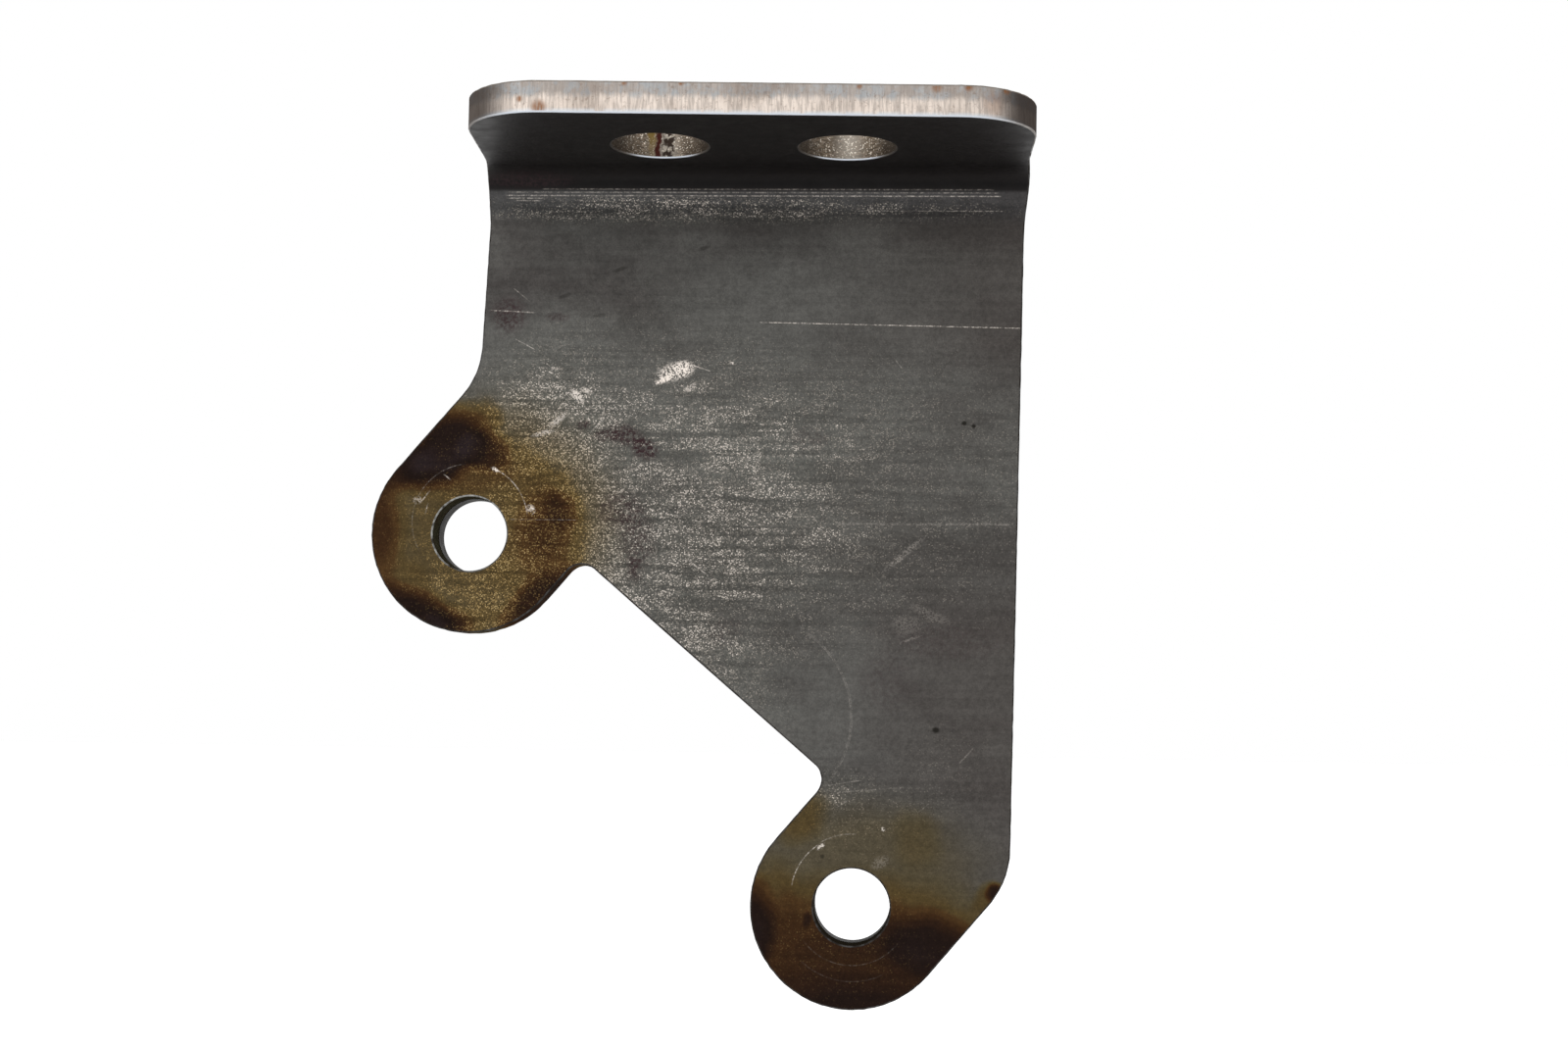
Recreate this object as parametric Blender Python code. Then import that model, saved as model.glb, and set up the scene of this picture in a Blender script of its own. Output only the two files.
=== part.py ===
"""Antenna mount: one folded steel plate with two lugs, and a welded spacer behind each lug.

X runs along the fold, +Y runs from the antenna side to the carrier side, and +Z is up. The
origin lies on the shelf's top face, midway between the two antenna holes.

The plate is drawn as a flat blank first and then folded, as a press brake would do it. On the
blank, u runs along the fold and v runs across it: v is negative on the shelf, passes through
the bend from 0 to BEND_LENGTH, and goes on down the web. Depth counts from the face that the
bend closes on (the shelf's underside and the web's front) to the other face.
"""
import math

import bmesh
import bpy
from mathutils import Matrix, Vector

MM = 0.001

# Plate stock and fold
PLATE_THICKNESS = 6.35 * MM
FOLD_RADIUS = 7.9 * MM
END_BULGE = 0.75 * MM
END_BULGE_REACH = 5.5 * MM

# Shelf: reach and hole line are measured from the web's front face
SHELF_WIDTH = 113.4 * MM
SHELF_REACH = 47.8 * MM
SHELF_CORNER_RADIUS = 16.0 * MM
HOLE_LINE_REACH = 23.0 * MM
ANTENNA_HOLE_SPACING = 38.1 * MM
ANTENNA_HOLE_DIAMETER = 19.8 * MM

# The blank was folded slightly out of square, and its right edge tapers
FOLD_SKEW = math.radians(2.4)
RIGHT_EDGE_SKEW = math.radians(0.92)

# Web: the notch runs down to the right between the lugs, which stand square to its floor
NOTCH_ANGLE = math.radians(40.5)
NOTCH_CORNER_RADIUS = 4.0 * MM
UPPER_LUG_OFFSET = 60.9 * MM
UPPER_LUG_DROP = 84.0 * MM
UPPER_LUG_STAND = 11.9 * MM
LOWER_LUG_STAND = 17.1 * MM
LUG_SPACING = 112.4 * MM
LUG_RADIUS = 21.1 * MM
LUG_BORE = 15.9 * MM
NECK_RADIUS = 17.0 * MM
RIGHT_CORNER_RADIUS = 18.0 * MM

# Spacers and the fillet welds round their feet
SPACER_LENGTH = 6.0 * MM
SPACER_WALL = 4.75 * MM
SPACER_CHAMFER = 0.4 * MM
WELD_LEG = 4.0 * MM
WELD_CROWN = 0.5 * MM

# Facets
ARC_STEP = math.radians(6.0)
BORE_SEGMENTS = 60
BEND_STEPS = 15
BULGE_STEPS = 4
WELD_FACE_STEPS = 6
FILLET_SHARE = 0.49

# Sizes that follow from those above
BEND_LENGTH = FOLD_RADIUS * math.pi / 2
WEB_FRONT_Y = HOLE_LINE_REACH
WEB_BACK_Y = WEB_FRONT_Y + PLATE_THICKNESS
ALONG_NOTCH = Vector((math.cos(NOTCH_ANGLE), math.sin(NOTCH_ANGLE)))
OUT_OF_NOTCH = Vector((-math.sin(NOTCH_ANGLE), math.cos(NOTCH_ANGLE)))
UPPER_LUG = Vector((-UPPER_LUG_OFFSET, UPPER_LUG_DROP - PLATE_THICKNESS))
LUG_STEP_OUT = LOWER_LUG_STAND - UPPER_LUG_STAND
LOWER_LUG = UPPER_LUG + ALONG_NOTCH * LUG_SPACING + OUT_OF_NOTCH * LUG_STEP_OUT

MILL_STEEL = (0.075, 0.073, 0.070, 1.0)
SPACER_STEEL = (0.30, 0.29, 0.27, 1.0)
WELD_STEEL = (0.16, 0.14, 0.13, 1.0)


def clear_scene():
    for existing in list(bpy.data.objects):
        bpy.data.objects.remove(existing, do_unlink=True)


def steel(name, colour, roughness):
    material = bpy.data.materials.new(name)
    material.use_nodes = True
    shader = material.node_tree.nodes["Principled BSDF"]
    shader.inputs["Base Color"].default_value = colour
    shader.inputs["Roughness"].default_value = roughness
    shader.inputs["Metallic"].default_value = 1.0
    return material


def add_object(name, mesh_builder, material):
    """Turn a finished bmesh into a smooth-shaded object with one material."""
    bmesh.ops.recalc_face_normals(mesh_builder, faces=mesh_builder.faces)
    mesh = bpy.data.meshes.new(name)
    mesh_builder.to_mesh(mesh)
    mesh_builder.free()
    mesh.shade_smooth()
    mesh.set_sharp_from_angle(angle=math.radians(30))
    mesh.materials.append(material)
    part = bpy.data.objects.new(name, mesh)
    bpy.context.scene.collection.objects.link(part)
    return part


def left_edge_x(height):
    """Left edge on the blank, where height is +w out along the shelf or -y down the web."""
    return -SHELF_WIDTH / 2 + math.tan(FOLD_SKEW) * (height - HOLE_LINE_REACH)


def right_edge_x(height):
    """Right edge on the blank, with height as for the left edge."""
    return SHELF_WIDTH / 2 + math.tan(RIGHT_EDGE_SKEW) * (height - HOLE_LINE_REACH)


def front_edge_w(x):
    """Distance of the shelf's front edge from the web's front face."""
    return SHELF_REACH - math.tan(FOLD_SKEW) * x


def shelf_point(x, w):
    return Vector((x, FOLD_RADIUS - w))


def web_point(x, y):
    return Vector((x, BEND_LENGTH + y - FOLD_RADIUS))


def crossing(first, first_direction, second, second_direction):
    """Point where two lines of the blank cross."""
    gap = second - first
    turn = first_direction.x * second_direction.y - first_direction.y * second_direction.x
    reach = (gap.x * second_direction.y - gap.y * second_direction.x) / turn
    return first + first_direction * reach


def turned(spoke, angle):
    return Matrix.Rotation(angle, 2) @ spoke


def arc(centre, spoke, sweep):
    """Points on an arc that starts at centre + spoke and sweeps by a signed angle."""
    steps = max(3, round(abs(sweep) / ARC_STEP))
    return [centre + turned(spoke, sweep * step / steps) for step in range(steps + 1)]


def fillet(before, corner, after, radius):
    """Arc that rounds a corner. Its radius gives way where a neighbouring side is too short."""
    back = (before - corner).normalized()
    forth = (after - corner).normalized()
    half_angle = back.angle(forth) / 2
    room = FILLET_SHARE * min((before - corner).length, (after - corner).length)
    run = min(radius / math.tan(half_angle), room)
    fitted = run * math.tan(half_angle)
    centre = corner + (back + forth).normalized() * fitted / math.sin(half_angle)
    side = 1 if back.x * forth.y - back.y * forth.x < 0 else -1
    return arc(centre, corner + back * run - centre, side * (math.pi - 2 * half_angle))


def side_runs(edge_x):
    """Blank points of one side edge: on the shelf, across the bend and on the web."""
    reach = END_BULGE_REACH
    steps = [reach * step / BULGE_STEPS for step in range(1, BULGE_STEPS + 1)]
    on_shelf = [shelf_point(edge_x(FOLD_RADIUS + step), FOLD_RADIUS + step) for step in steps]
    on_web = [web_point(edge_x(-FOLD_RADIUS - step), FOLD_RADIUS + step) for step in steps]
    start = shelf_point(edge_x(FOLD_RADIUS), FOLD_RADIUS)
    end = web_point(edge_x(-FOLD_RADIUS), FOLD_RADIUS)
    across = [start.lerp(end, step / BEND_STEPS) for step in range(BEND_STEPS + 1)]
    return on_shelf, across, on_web


def shelf_front():
    """The shelf's two rounded front corners, from the left side to the right side."""
    def corner(edge_x):
        x = edge_x(SHELF_REACH)
        x = edge_x(front_edge_w(x))
        return shelf_point(x, front_edge_w(x))

    def heel(edge_x):
        w = FOLD_RADIUS + END_BULGE_REACH
        return shelf_point(edge_x(w), w)

    left = corner(left_edge_x)
    right = corner(right_edge_x)
    rounded_left = fillet(heel(left_edge_x), left, right, SHELF_CORNER_RADIUS)
    rounded_right = fillet(left, right, heel(right_edge_x), SHELF_CORNER_RADIUS)
    return rounded_left + rounded_right


def web_foot():
    """The web's edge from its right side, round both lugs and the notch, to its left side."""
    upper = web_point(*UPPER_LUG)
    lower = web_point(*LOWER_LUG)
    across_lug = ALONG_NOTCH * LUG_RADIUS

    right_heel = web_point(right_edge_x(-FOLD_RADIUS), FOLD_RADIUS)
    right_slope = Vector((-math.tan(RIGHT_EDGE_SKEW), 1.0))
    right_corner = crossing(right_heel, right_slope, lower + across_lug, OUT_OF_NOTCH)

    left_heel = web_point(left_edge_x(-FOLD_RADIUS), FOLD_RADIUS)
    left_slope = Vector((-math.tan(FOLD_SKEW), 1.0))
    neck = crossing(left_heel, left_slope, upper - across_lug, OUT_OF_NOTCH)

    low_notch = lower - across_lug - OUT_OF_NOTCH * LOWER_LUG_STAND
    high_notch = upper + across_lug - OUT_OF_NOTCH * UPPER_LUG_STAND

    edge = fillet(right_heel, right_corner, lower + across_lug, RIGHT_CORNER_RADIUS)
    edge += arc(lower, across_lug, math.pi)
    edge += fillet(lower - across_lug, low_notch, high_notch, NOTCH_CORNER_RADIUS)
    edge += fillet(low_notch, high_notch, upper + across_lug, NOTCH_CORNER_RADIUS)
    edge += arc(upper, across_lug, math.pi)
    edge += fillet(upper - across_lug, neck, left_heel, NECK_RADIUS)
    return edge


def add_loop(mesh_builder, corners):
    """Add a closed ring of edges through vertices that already exist."""
    ring = zip(corners, corners[1:] + corners[:1])
    return [mesh_builder.edges.get(pair) or mesh_builder.edges.new(pair) for pair in ring]


def add_circle(mesh_builder, centre, diameter):
    spoke = Vector((diameter / 2, 0.0))
    turns = [2 * math.pi * step / BORE_SEGMENTS for step in range(BORE_SEGMENTS)]
    points = [centre + turned(spoke, turn) for turn in turns]
    return add_loop(mesh_builder, [mesh_builder.verts.new((*point, 0.0)) for point in points])


def end_bulge(v):
    """How far the squeezed inner face swells past the side edges near the bend."""
    reach = BEND_LENGTH / 2 + END_BULGE_REACH
    offset = min(abs(v - BEND_LENGTH / 2) / reach, 1.0)
    return END_BULGE * (1 + math.cos(math.pi * offset)) / 2


def folded(blank_point):
    """Carry a point of the thick flat blank to its place on the folded plate."""
    u, v, depth = blank_point
    swell = end_bulge(v) * (1 - 2 * depth / PLATE_THICKNESS)
    x = u + math.copysign(swell, u)
    turn = min(max(v / FOLD_RADIUS, 0.0), math.pi / 2)
    radius = FOLD_RADIUS + depth
    shelf_run = max(-v, 0.0)
    web_run = max(v - BEND_LENGTH, 0.0)
    y = WEB_FRONT_Y - FOLD_RADIUS - shelf_run + radius * math.sin(turn)
    z = -PLATE_THICKNESS - FOLD_RADIUS - web_run + radius * math.cos(turn)
    return Vector((x, y, z))


def antenna_hole(side):
    """Blank position of the left (-1) or right (+1) antenna hole, on the skewed hole line."""
    x = side * ANTENNA_HOLE_SPACING / 2
    return shelf_point(x, HOLE_LINE_REACH - math.tan(FOLD_SKEW) * x)


def bracket_plate():
    """Draw the blank with its four holes, thicken it and fold it."""
    sheet = bmesh.new()

    def vertices(points):
        return [sheet.verts.new((*point, 0.0)) for point in points]

    left_shelf, left_bend, left_web = map(vertices, side_runs(left_edge_x))
    right_shelf, right_bend, right_web = map(vertices, side_runs(right_edge_x))
    front = vertices(shelf_front())
    foot = vertices(web_foot())

    shelf_ring = [left_bend[0]] + left_shelf + front + right_shelf[::-1] + [right_bend[0]]
    shelf_edges = add_loop(sheet, shelf_ring)
    for side in (-1, 1):
        shelf_edges += add_circle(sheet, antenna_hole(side), ANTENNA_HOLE_DIAMETER)
    bmesh.ops.triangle_fill(sheet, use_beauty=True, edges=shelf_edges)

    web_ring = [right_bend[-1]] + right_web + foot + left_web[::-1] + [left_bend[-1]]
    web_edges = add_loop(sheet, web_ring)
    for lug in (UPPER_LUG, LOWER_LUG):
        web_edges += add_circle(sheet, web_point(*lug), LUG_BORE)
    bmesh.ops.triangle_fill(sheet, use_beauty=True, edges=web_edges)

    for step in range(BEND_STEPS):
        strip = (left_bend[step], right_bend[step], right_bend[step + 1], left_bend[step + 1])
        sheet.faces.new(strip)

    bmesh.ops.recalc_face_normals(sheet, faces=sheet.faces)
    thickened = bmesh.ops.extrude_face_region(sheet, geom=sheet.faces[:])["geom"]
    far_side = [item for item in thickened if isinstance(item, bmesh.types.BMVert)]
    bmesh.ops.translate(sheet, verts=far_side, vec=(0.0, 0.0, PLATE_THICKNESS))
    for vertex in sheet.verts:
        vertex.co = folded(vertex.co)
    return add_object("bracket_plate", sheet, steel("mill_scale_steel", MILL_STEEL, 0.5))


def ring(name, profile, lug, material):
    """Spin a closed profile of (radius, distance behind the web) once round a lug's bore."""
    turned_piece = bmesh.new()
    corners = [turned_piece.verts.new((radius, depth, 0.0)) for radius, depth in profile]
    edges = add_loop(turned_piece, corners)
    bmesh.ops.spin(
        turned_piece,
        geom=corners + edges,
        cent=(0.0, 0.0, 0.0),
        axis=(0.0, 1.0, 0.0),
        angle=2 * math.pi,
        steps=BORE_SEGMENTS,
        use_merge=True,
    )
    part = add_object(name, turned_piece, material)
    part.location = (lug.x, WEB_BACK_Y, -PLATE_THICKNESS - lug.y)
    return part


def spacer_profile():
    """A short sleeve with the lug's own bore and lightly broken edges at both ends of it."""
    bore = LUG_BORE / 2
    outside = bore + SPACER_WALL
    return [
        (bore + SPACER_CHAMFER, 0.0),
        (outside, 0.0),
        (outside, SPACER_LENGTH - SPACER_CHAMFER),
        (outside - SPACER_CHAMFER, SPACER_LENGTH),
        (bore + SPACER_CHAMFER, SPACER_LENGTH),
        (bore, SPACER_LENGTH - SPACER_CHAMFER),
        (bore, SPACER_CHAMFER),
    ]


def weld_profile():
    """A fillet weld in the corner between the web's back and the spacer, crowned outwards."""
    foot = LUG_BORE / 2 + SPACER_WALL
    face = []
    for step in range(WELD_FACE_STEPS + 1):
        share = step / WELD_FACE_STEPS
        crown = WELD_CROWN * math.sin(math.pi * share) / math.sqrt(2)
        face.append((foot + WELD_LEG * (1 - share) + crown, WELD_LEG * share + crown))
    return [(foot, 0.0)] + face


def build():
    clear_scene()
    bracket_plate()
    spacer_material = steel("spacer_steel", SPACER_STEEL, 0.42)
    weld_material = steel("weld_metal", WELD_STEEL, 0.45)
    for position, lug in (("upper", UPPER_LUG), ("lower", LOWER_LUG)):
        ring(position + "_spacer", spacer_profile(), lug, spacer_material)
        ring(position + "_weld", weld_profile(), lug, weld_material)


build()
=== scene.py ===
# %% [markdown]
# # A folded steel antenna bracket
#
# The real object is a hand-made bracket: one piece of quarter-inch hot-rolled plate, cut to
# shape, drilled and folded once, with a short bored spacer welded behind each of its two lugs.
# This lesson dresses the finished construction model. The model's solids arrive as a frame with
# every piece at its true size, and each step below gives one piece its surface: bevelled edges,
# dark mill scale, the colours that welding heat leaves, bright cut edges and the weld beads.

# %% Load the construction model
import math
from collections import namedtuple

import bmesh
import bpy
from mathutils import Euler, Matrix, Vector
from mathutils import noise as lumps


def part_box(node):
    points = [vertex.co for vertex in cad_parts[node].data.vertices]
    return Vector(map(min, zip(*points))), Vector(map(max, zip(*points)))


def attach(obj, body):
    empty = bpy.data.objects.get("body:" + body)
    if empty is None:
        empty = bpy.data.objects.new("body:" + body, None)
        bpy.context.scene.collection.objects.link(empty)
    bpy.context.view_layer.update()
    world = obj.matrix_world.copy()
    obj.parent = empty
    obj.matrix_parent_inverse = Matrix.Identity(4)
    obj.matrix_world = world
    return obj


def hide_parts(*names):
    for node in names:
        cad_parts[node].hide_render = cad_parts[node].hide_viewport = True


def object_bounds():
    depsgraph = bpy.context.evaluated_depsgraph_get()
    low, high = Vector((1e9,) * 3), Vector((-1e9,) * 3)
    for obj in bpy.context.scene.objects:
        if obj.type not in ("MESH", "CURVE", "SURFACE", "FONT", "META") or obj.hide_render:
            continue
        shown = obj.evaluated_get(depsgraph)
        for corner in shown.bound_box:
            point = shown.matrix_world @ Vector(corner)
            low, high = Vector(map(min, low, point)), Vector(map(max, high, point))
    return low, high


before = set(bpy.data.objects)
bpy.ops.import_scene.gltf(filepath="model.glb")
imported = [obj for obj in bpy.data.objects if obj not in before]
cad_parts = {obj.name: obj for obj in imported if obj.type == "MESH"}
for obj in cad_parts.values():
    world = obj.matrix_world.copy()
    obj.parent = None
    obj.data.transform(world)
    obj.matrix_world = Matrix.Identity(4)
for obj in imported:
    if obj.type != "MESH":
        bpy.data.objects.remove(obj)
cad_low, cad_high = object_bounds()
MM = 0.001
print("construction model, mm:", [round(side / MM, 1) for side in cad_high - cad_low])

# %% [markdown]
# ## Sizes read from the frame
#
# The centre of each lug, the web's back and the spacers' size come from the boxes of the solids,
# so the looks follow the construction. A box doesn't tell the plate's thickness, the fold or the
# holes, so those are the construction's own values, written once more.

# %% Read the main places
plate_low, plate_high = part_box("bracket_plate")
upper_low, upper_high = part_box("upper_spacer")
lower_low, lower_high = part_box("lower_spacer")
UPPER_LUG = (upper_low + upper_high) / 2
LOWER_LUG = (lower_low + lower_high) / 2
WEB_BACK = upper_low.y
SPACER_RADIUS = (upper_high.x - upper_low.x) / 2
PLATE_THICKNESS = 6.35 * MM
WEB_FRONT = WEB_BACK - PLATE_THICKNESS
LUG_BORE_RADIUS = 7.95 * MM
ANTENNA_HOLE_RADIUS = 9.9 * MM
ANTENNA_HOLE_OFFSET = 19.05 * MM
ANTENNA_HOLE_SHIFT = 0.80 * MM
FOLD_RADIUS = 7.9 * MM
print("plate, mm:", [round(side / MM, 1) for side in plate_high - plate_low])
print("web front and back, mm:", round(WEB_FRONT / MM, 2), round(WEB_BACK / MM, 2))

# %% [markdown]
# ## The camera
#
# The photograph was taken from almost straight ahead with an ordinary lens, a little below the
# shelf, so that its underside and both holes show as thin ellipses. A 50 mm lens on a 36 mm
# sensor gives the same perspective. The aim point lies on the web's front face.

# %% Make the camera
CAMERA_PLACE = Vector((31.04, -434.3, -118.82)) * MM
CAMERA_TURN = Euler([math.radians(angle) for angle in (94.711, -0.845, 3.060)])


def into_scene(name, data):
    """Make an object of a camera's, lamp's or mesh's data and put it into the scene."""
    piece = bpy.data.objects.new(name, data)
    bpy.context.scene.collection.objects.link(piece)
    return piece


camera_data = bpy.data.cameras.new("photo_camera")
camera_data.lens = 50.0
camera_data.sensor_width = 36.0
camera_data.clip_start = 0.01
camera_data.clip_end = 50.0
camera = into_scene("photo_camera", camera_data)
camera.location = CAMERA_PLACE
camera.rotation_euler = CAMERA_TURN
bpy.context.scene.camera = camera
print("camera stands", round(CAMERA_PLACE.length, 3), "m from the shelf")

# %% [markdown]
# ## Small helpers for shader trees
#
# A procedural material is a graph of nodes. Written out in full each node takes four or five
# lines, so these helpers shorten the usual moves: add a node, do a sum, turn a value into a
# soft mask, lay one colour over another. A socket knows which tree it belongs to, so the tree
# is named only where a graph starts. Places are in millimetres, because a steel plate is easier
# to think of in millimetres than in metres.

# %% Nodes and sums
def home(values):
    """The node tree of the first socket among these values, so that no call has to name it."""
    return next(value.id_data for value in values if isinstance(value, bpy.types.NodeSocket))


def feed(node, **inputs):
    """Link every input that is given a socket, and set every one that is given a plain value."""
    for name, value in inputs.items():
        key = int(name[1:]) if name[0] == "i" and name[1:].isdigit() else name.replace("_", " ")
        if isinstance(value, bpy.types.NodeSocket):
            node.id_data.links.new(value, node.inputs[key])
        else:
            node.inputs[key].default_value = value


def add(kind, settings=None, tree=None, **inputs):
    """Add a node, with its settings and its inputs by name or as i0, i1 and so on."""
    node = (tree or home(inputs.values())).nodes.new(kind)
    for name, value in (settings or {}).items():
        setattr(node, name, value)
    feed(node, **inputs)
    return node


def calc(operation, *values, clamp=False):
    """One sum of numbers or number sockets."""
    settings = {"operation": operation, "use_clamp": clamp}
    inputs = {f"i{place}": value for place, value in enumerate(values)}
    return add("ShaderNodeMath", settings, **inputs).outputs[0]


def times(*values, clamp=False):
    """The product of two or more numbers or number sockets."""
    product = values[0]
    for value in values[1:-1]:
        product = calc("MULTIPLY", product, value)
    return calc("MULTIPLY", product, values[-1], clamp=clamp)


def less(value, amount):
    return calc("SUBTRACT", value, amount)


def away(value, place):
    """How far a number is from a place, on either side of it."""
    return calc("ABSOLUTE", less(value, place))


def weighted_sum(masks, total=0.0):
    """Each mask times its weight, added up. A generator keeps each mask beside its sum."""
    for mask, weight in masks:
        total = calc("MULTIPLY_ADD", mask, weight, total)
    return total


def vector_calc(operation, *values, **named):
    """The outputs of one sum of vectors: first a vector, then a number."""
    inputs = {f"i{place}": value for place, value in enumerate(values)}
    return add("ShaderNodeVectorMath", {"operation": operation}, **inputs, **named).outputs


print("sums:", [tool.__name__ for tool in (calc, times, less, away, weighted_sum, vector_calc)])

# %% [markdown]
# ## Masks and colours
#
# A mask is a number from 0 to 1 that says where something shows. A soft step makes one out of any
# value, and a mix lays one colour over another by it. Colours are written as they look on screen,
# because the eye judges them there, and are then turned into the linear light that nodes use.

# %% Masks and colours
WHITE = (1.0, 1.0, 1.0, 1.0)


def ramp(value, low, high, start=0.0, end=1.0):
    """A soft step: start below low, end above high."""
    settings = {"interpolation_type": "SMOOTHSTEP"}
    limits = {"From_Min": low, "From_Max": high, "To_Min": start, "To_Max": end}
    return add("ShaderNodeMapRange", settings, Value=value, **limits).outputs["Result"]


def between(value, rise, fall):
    """1 between two soft steps, each given as where it starts and ends."""
    return times(ramp(value, *rise), ramp(value, *fall, 1.0, 0.0))


def lay(under, over, amount):
    """Lay one colour over another by an amount from 0 to 1."""
    settings = {"data_type": "RGBA", "blend_type": "MIX"}
    return add("ShaderNodeMix", settings, i0=amount, i6=under, i7=over).outputs[2]


def colour(red, green, blue):
    """A colour as it looks on screen, 0 to 255, turned into the linear value that nodes use."""
    def linear(level):
        share = level / 255
        return share / 12.92 if share <= 0.04045 else ((share + 0.055) / 1.055) ** 2.4

    return (linear(red), linear(green), linear(blue), 1.0)


def noise(vector, per_mm, stretch=(1.0, 1.0, 1.0), detail=2.0, roughness=0.5, warp=0.0):
    """Noise with so many lumps per millimetre. A small stretch draws the lumps out that way."""
    mapped = add("ShaderNodeMapping", Vector=vector, Scale=stretch).outputs[0]
    grain = {"Scale": per_mm, "Detail": detail, "Roughness": roughness, "Distortion": warp}
    return add("ShaderNodeTexNoise", Vector=mapped, **grain).outputs[0]


def new_material(name):
    material = bpy.data.materials.new(name)
    material.use_nodes = True
    return material, material.node_tree, material.node_tree.nodes["Principled BSDF"]


def finish_look(shader, base, rough, metallic, gloss=0.5, tint=WHITE):
    """The shader's colour, roughness and share of metal, and the gloss of its clear film."""
    feed(shader, Base_Color=base, Roughness=rough, Metallic=metallic)
    feed(shader, Specular_IOR_Level=gloss, Specular_Tint=tint)


def bump(shader, height, strength, distance):
    """Bump from a height, with its distance in millimetres."""
    inputs = {"Strength": strength, "Distance": distance * MM, "Height": height}
    feed(shader, Normal=add("ShaderNodeBump", **inputs).outputs[0])


print("white as nodes see it:", WHITE, "and middle grey:", round(colour(128, 128, 128)[0], 3))

# %% [markdown]
# ## Places on the plate
#
# A mark belongs to a spot, so the materials have to know where they are. Object coordinates
# give the place in the room, and a point attribute called "blank" gives the place on the flat
# sheet before it was folded. A patch is an oval: its distance from a centre, measured along its
# own two axes, turned into a soft mask. It costs nothing to store and stays sharp in a close-up.

# %% Places and patches
Here = namedtuple("Here", "vector x y z")
Flat = namedtuple("Flat", "vector along across depth")
LUG_CENTRES = [(lug.x / MM, lug.z / MM) for lug in (UPPER_LUG, LOWER_LUG)]


def places(tree):
    """Object coordinates in millimetres, as a vector and as its three numbers."""
    metres = tree.nodes.new("ShaderNodeTexCoord").outputs["Object"]
    vector = vector_calc("SCALE", metres, Scale=1 / MM)[0]
    return Here(vector, *add("ShaderNodeSeparateXYZ", i0=vector).outputs)


def blank_places(tree):
    """The attribute that holds each vertex's place on the flat blank, in millimetres."""
    settings = {"attribute_type": "GEOMETRY", "attribute_name": "blank"}
    vector = add("ShaderNodeAttribute", settings, tree).outputs["Vector"]
    return Flat(vector, *add("ShaderNodeSeparateXYZ", i0=vector).outputs)


def offsets(here, centre):
    """How far right of and above a point (x, z) of the web a place is."""
    return less(here.x, centre[0]), less(here.z, centre[1])


def length(across, up):
    squares = calc("MULTIPLY_ADD", across, across, times(up, up))
    return calc("SQRT", squares)


def from_lug(here):
    """The distance in millimetres from the nearer lug's axis."""
    return calc("MINIMUM", *[length(*offsets(here, centre)) for centre in LUG_CENTRES])


def front_only(here):
    """1 on the plate's front faces and 0 on the web's back."""
    return ramp(here.y, WEB_FRONT / MM + 1.0, WEB_BACK / MM - 1.0, 1.0, 0.0)


def patch(vector, centre, size, turn, soft):
    """A soft-edged oval patch on the web, by its centre (x, z), half sizes and turn.

    It is built from sums of plain numbers, one after another. The renderer keeps few results in
    mind at a time, and vectors that wait for each other would fill that up over many patches.
    """
    across, up = math.cos(math.radians(turn)), math.sin(math.radians(turn))
    squares = 0.0
    for (right, rise), half in (((across, up), size[0]), ((-up, across), size[1])):
        direction = (right / half, 0.0, rise / half)
        spread = vector_calc("DOT_PRODUCT", vector, direction)["Value"]
        middle = (centre[0] * right + centre[1] * rise) / half
        offset = less(spread, middle)
        squares = calc("MULTIPLY_ADD", offset, offset, squares)
    return ramp(calc("SQRT", squares), 1 - soft, 1 + soft, 1.0, 0.0)


def spot_sum(vector, table, soft, origin=(0.0, 0.0), total=0.0):
    """A table's patches, each times its amount, added up. Their centres count from origin."""
    masks = (
        (patch(vector, (origin[0] + x, origin[1] + z), size, turn, soft), amount)
        for (x, z), size, turn, amount in table
    )
    return weighted_sum(masks, total)


print("lug centres, mm:", [(round(x, 1), round(z, 1)) for x, z in LUG_CENTRES])

# %% [markdown]
# ## Mill scale
#
# Hot-rolled plate comes off the mill with a thin dark oxide skin. It is nearly smooth, faintly
# streaked along the rolling direction, and where handling has rubbed it through, small grains of
# bare steel glitter. Three layers give this: a dark base that drifts slowly, a mosaic of grains,
# and a mask that says where the skin is worn. The mask is stretched noise, which makes the
# rolling streaks, times a few soft patches that follow the worn areas of the real plate.

# %% Base and wear of the mill scale
SCALE_DARK = colour(70, 67, 65)
SCALE_LIGHT = colour(90, 89, 86)
WORN_PATCHES = [
    # centre x, z, half sizes, turn, how densely it glitters
    ((-26, -72), (34, 30), -8, 0.42),
    ((-4, -84), (34, 28), 0, 0.17),
    ((-22, -92), (22, 20), 40, 0.22),
    ((-4, -106), (24, 16), 35, 0.15),
    ((-46, -56), (13, 12), 0, 0.32),
    ((-40, -62), (12, 8), 0, 0.26),
    ((4, -56), (26, 14), 0, 0.16),
    ((33, -74), (32, 28), 0, 0.27),
    ((-56, -101), (7, 5), 20, 0.3),
    ((-59, -97), (13, 9), 0, 0.36),
    ((-58, -84), (26, 26), 0, 0.34),
    ((-44, -82), (6, 16), 0, 0.16),
    ((10, -137), (12, 6), 0, 0.14),
    ((22, -150), (26, 16), 0, 0.12),
    ((15, -136.6), (9, 3.4), 8, 0.26),
    ((-5, -111), (17, 4.6), -43, 0.24),
    ((2, -108), (10, 3), 0, 0.12),
    ((24, -141), (14, 6), 0, 0.14),
    ((40, -131), (10, 8), 40, 0.14),
    ((20, -172), (22, 11), 0, 0.3),
    ((-4, -14), (54, 2.8), 0, 0.52),
    ((-30, -14), (26, 2.8), 0, 0.2),
    ((-2, -24), (54, 16), 0, 0.04),
]
BARELY_WORN = 0.12


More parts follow.
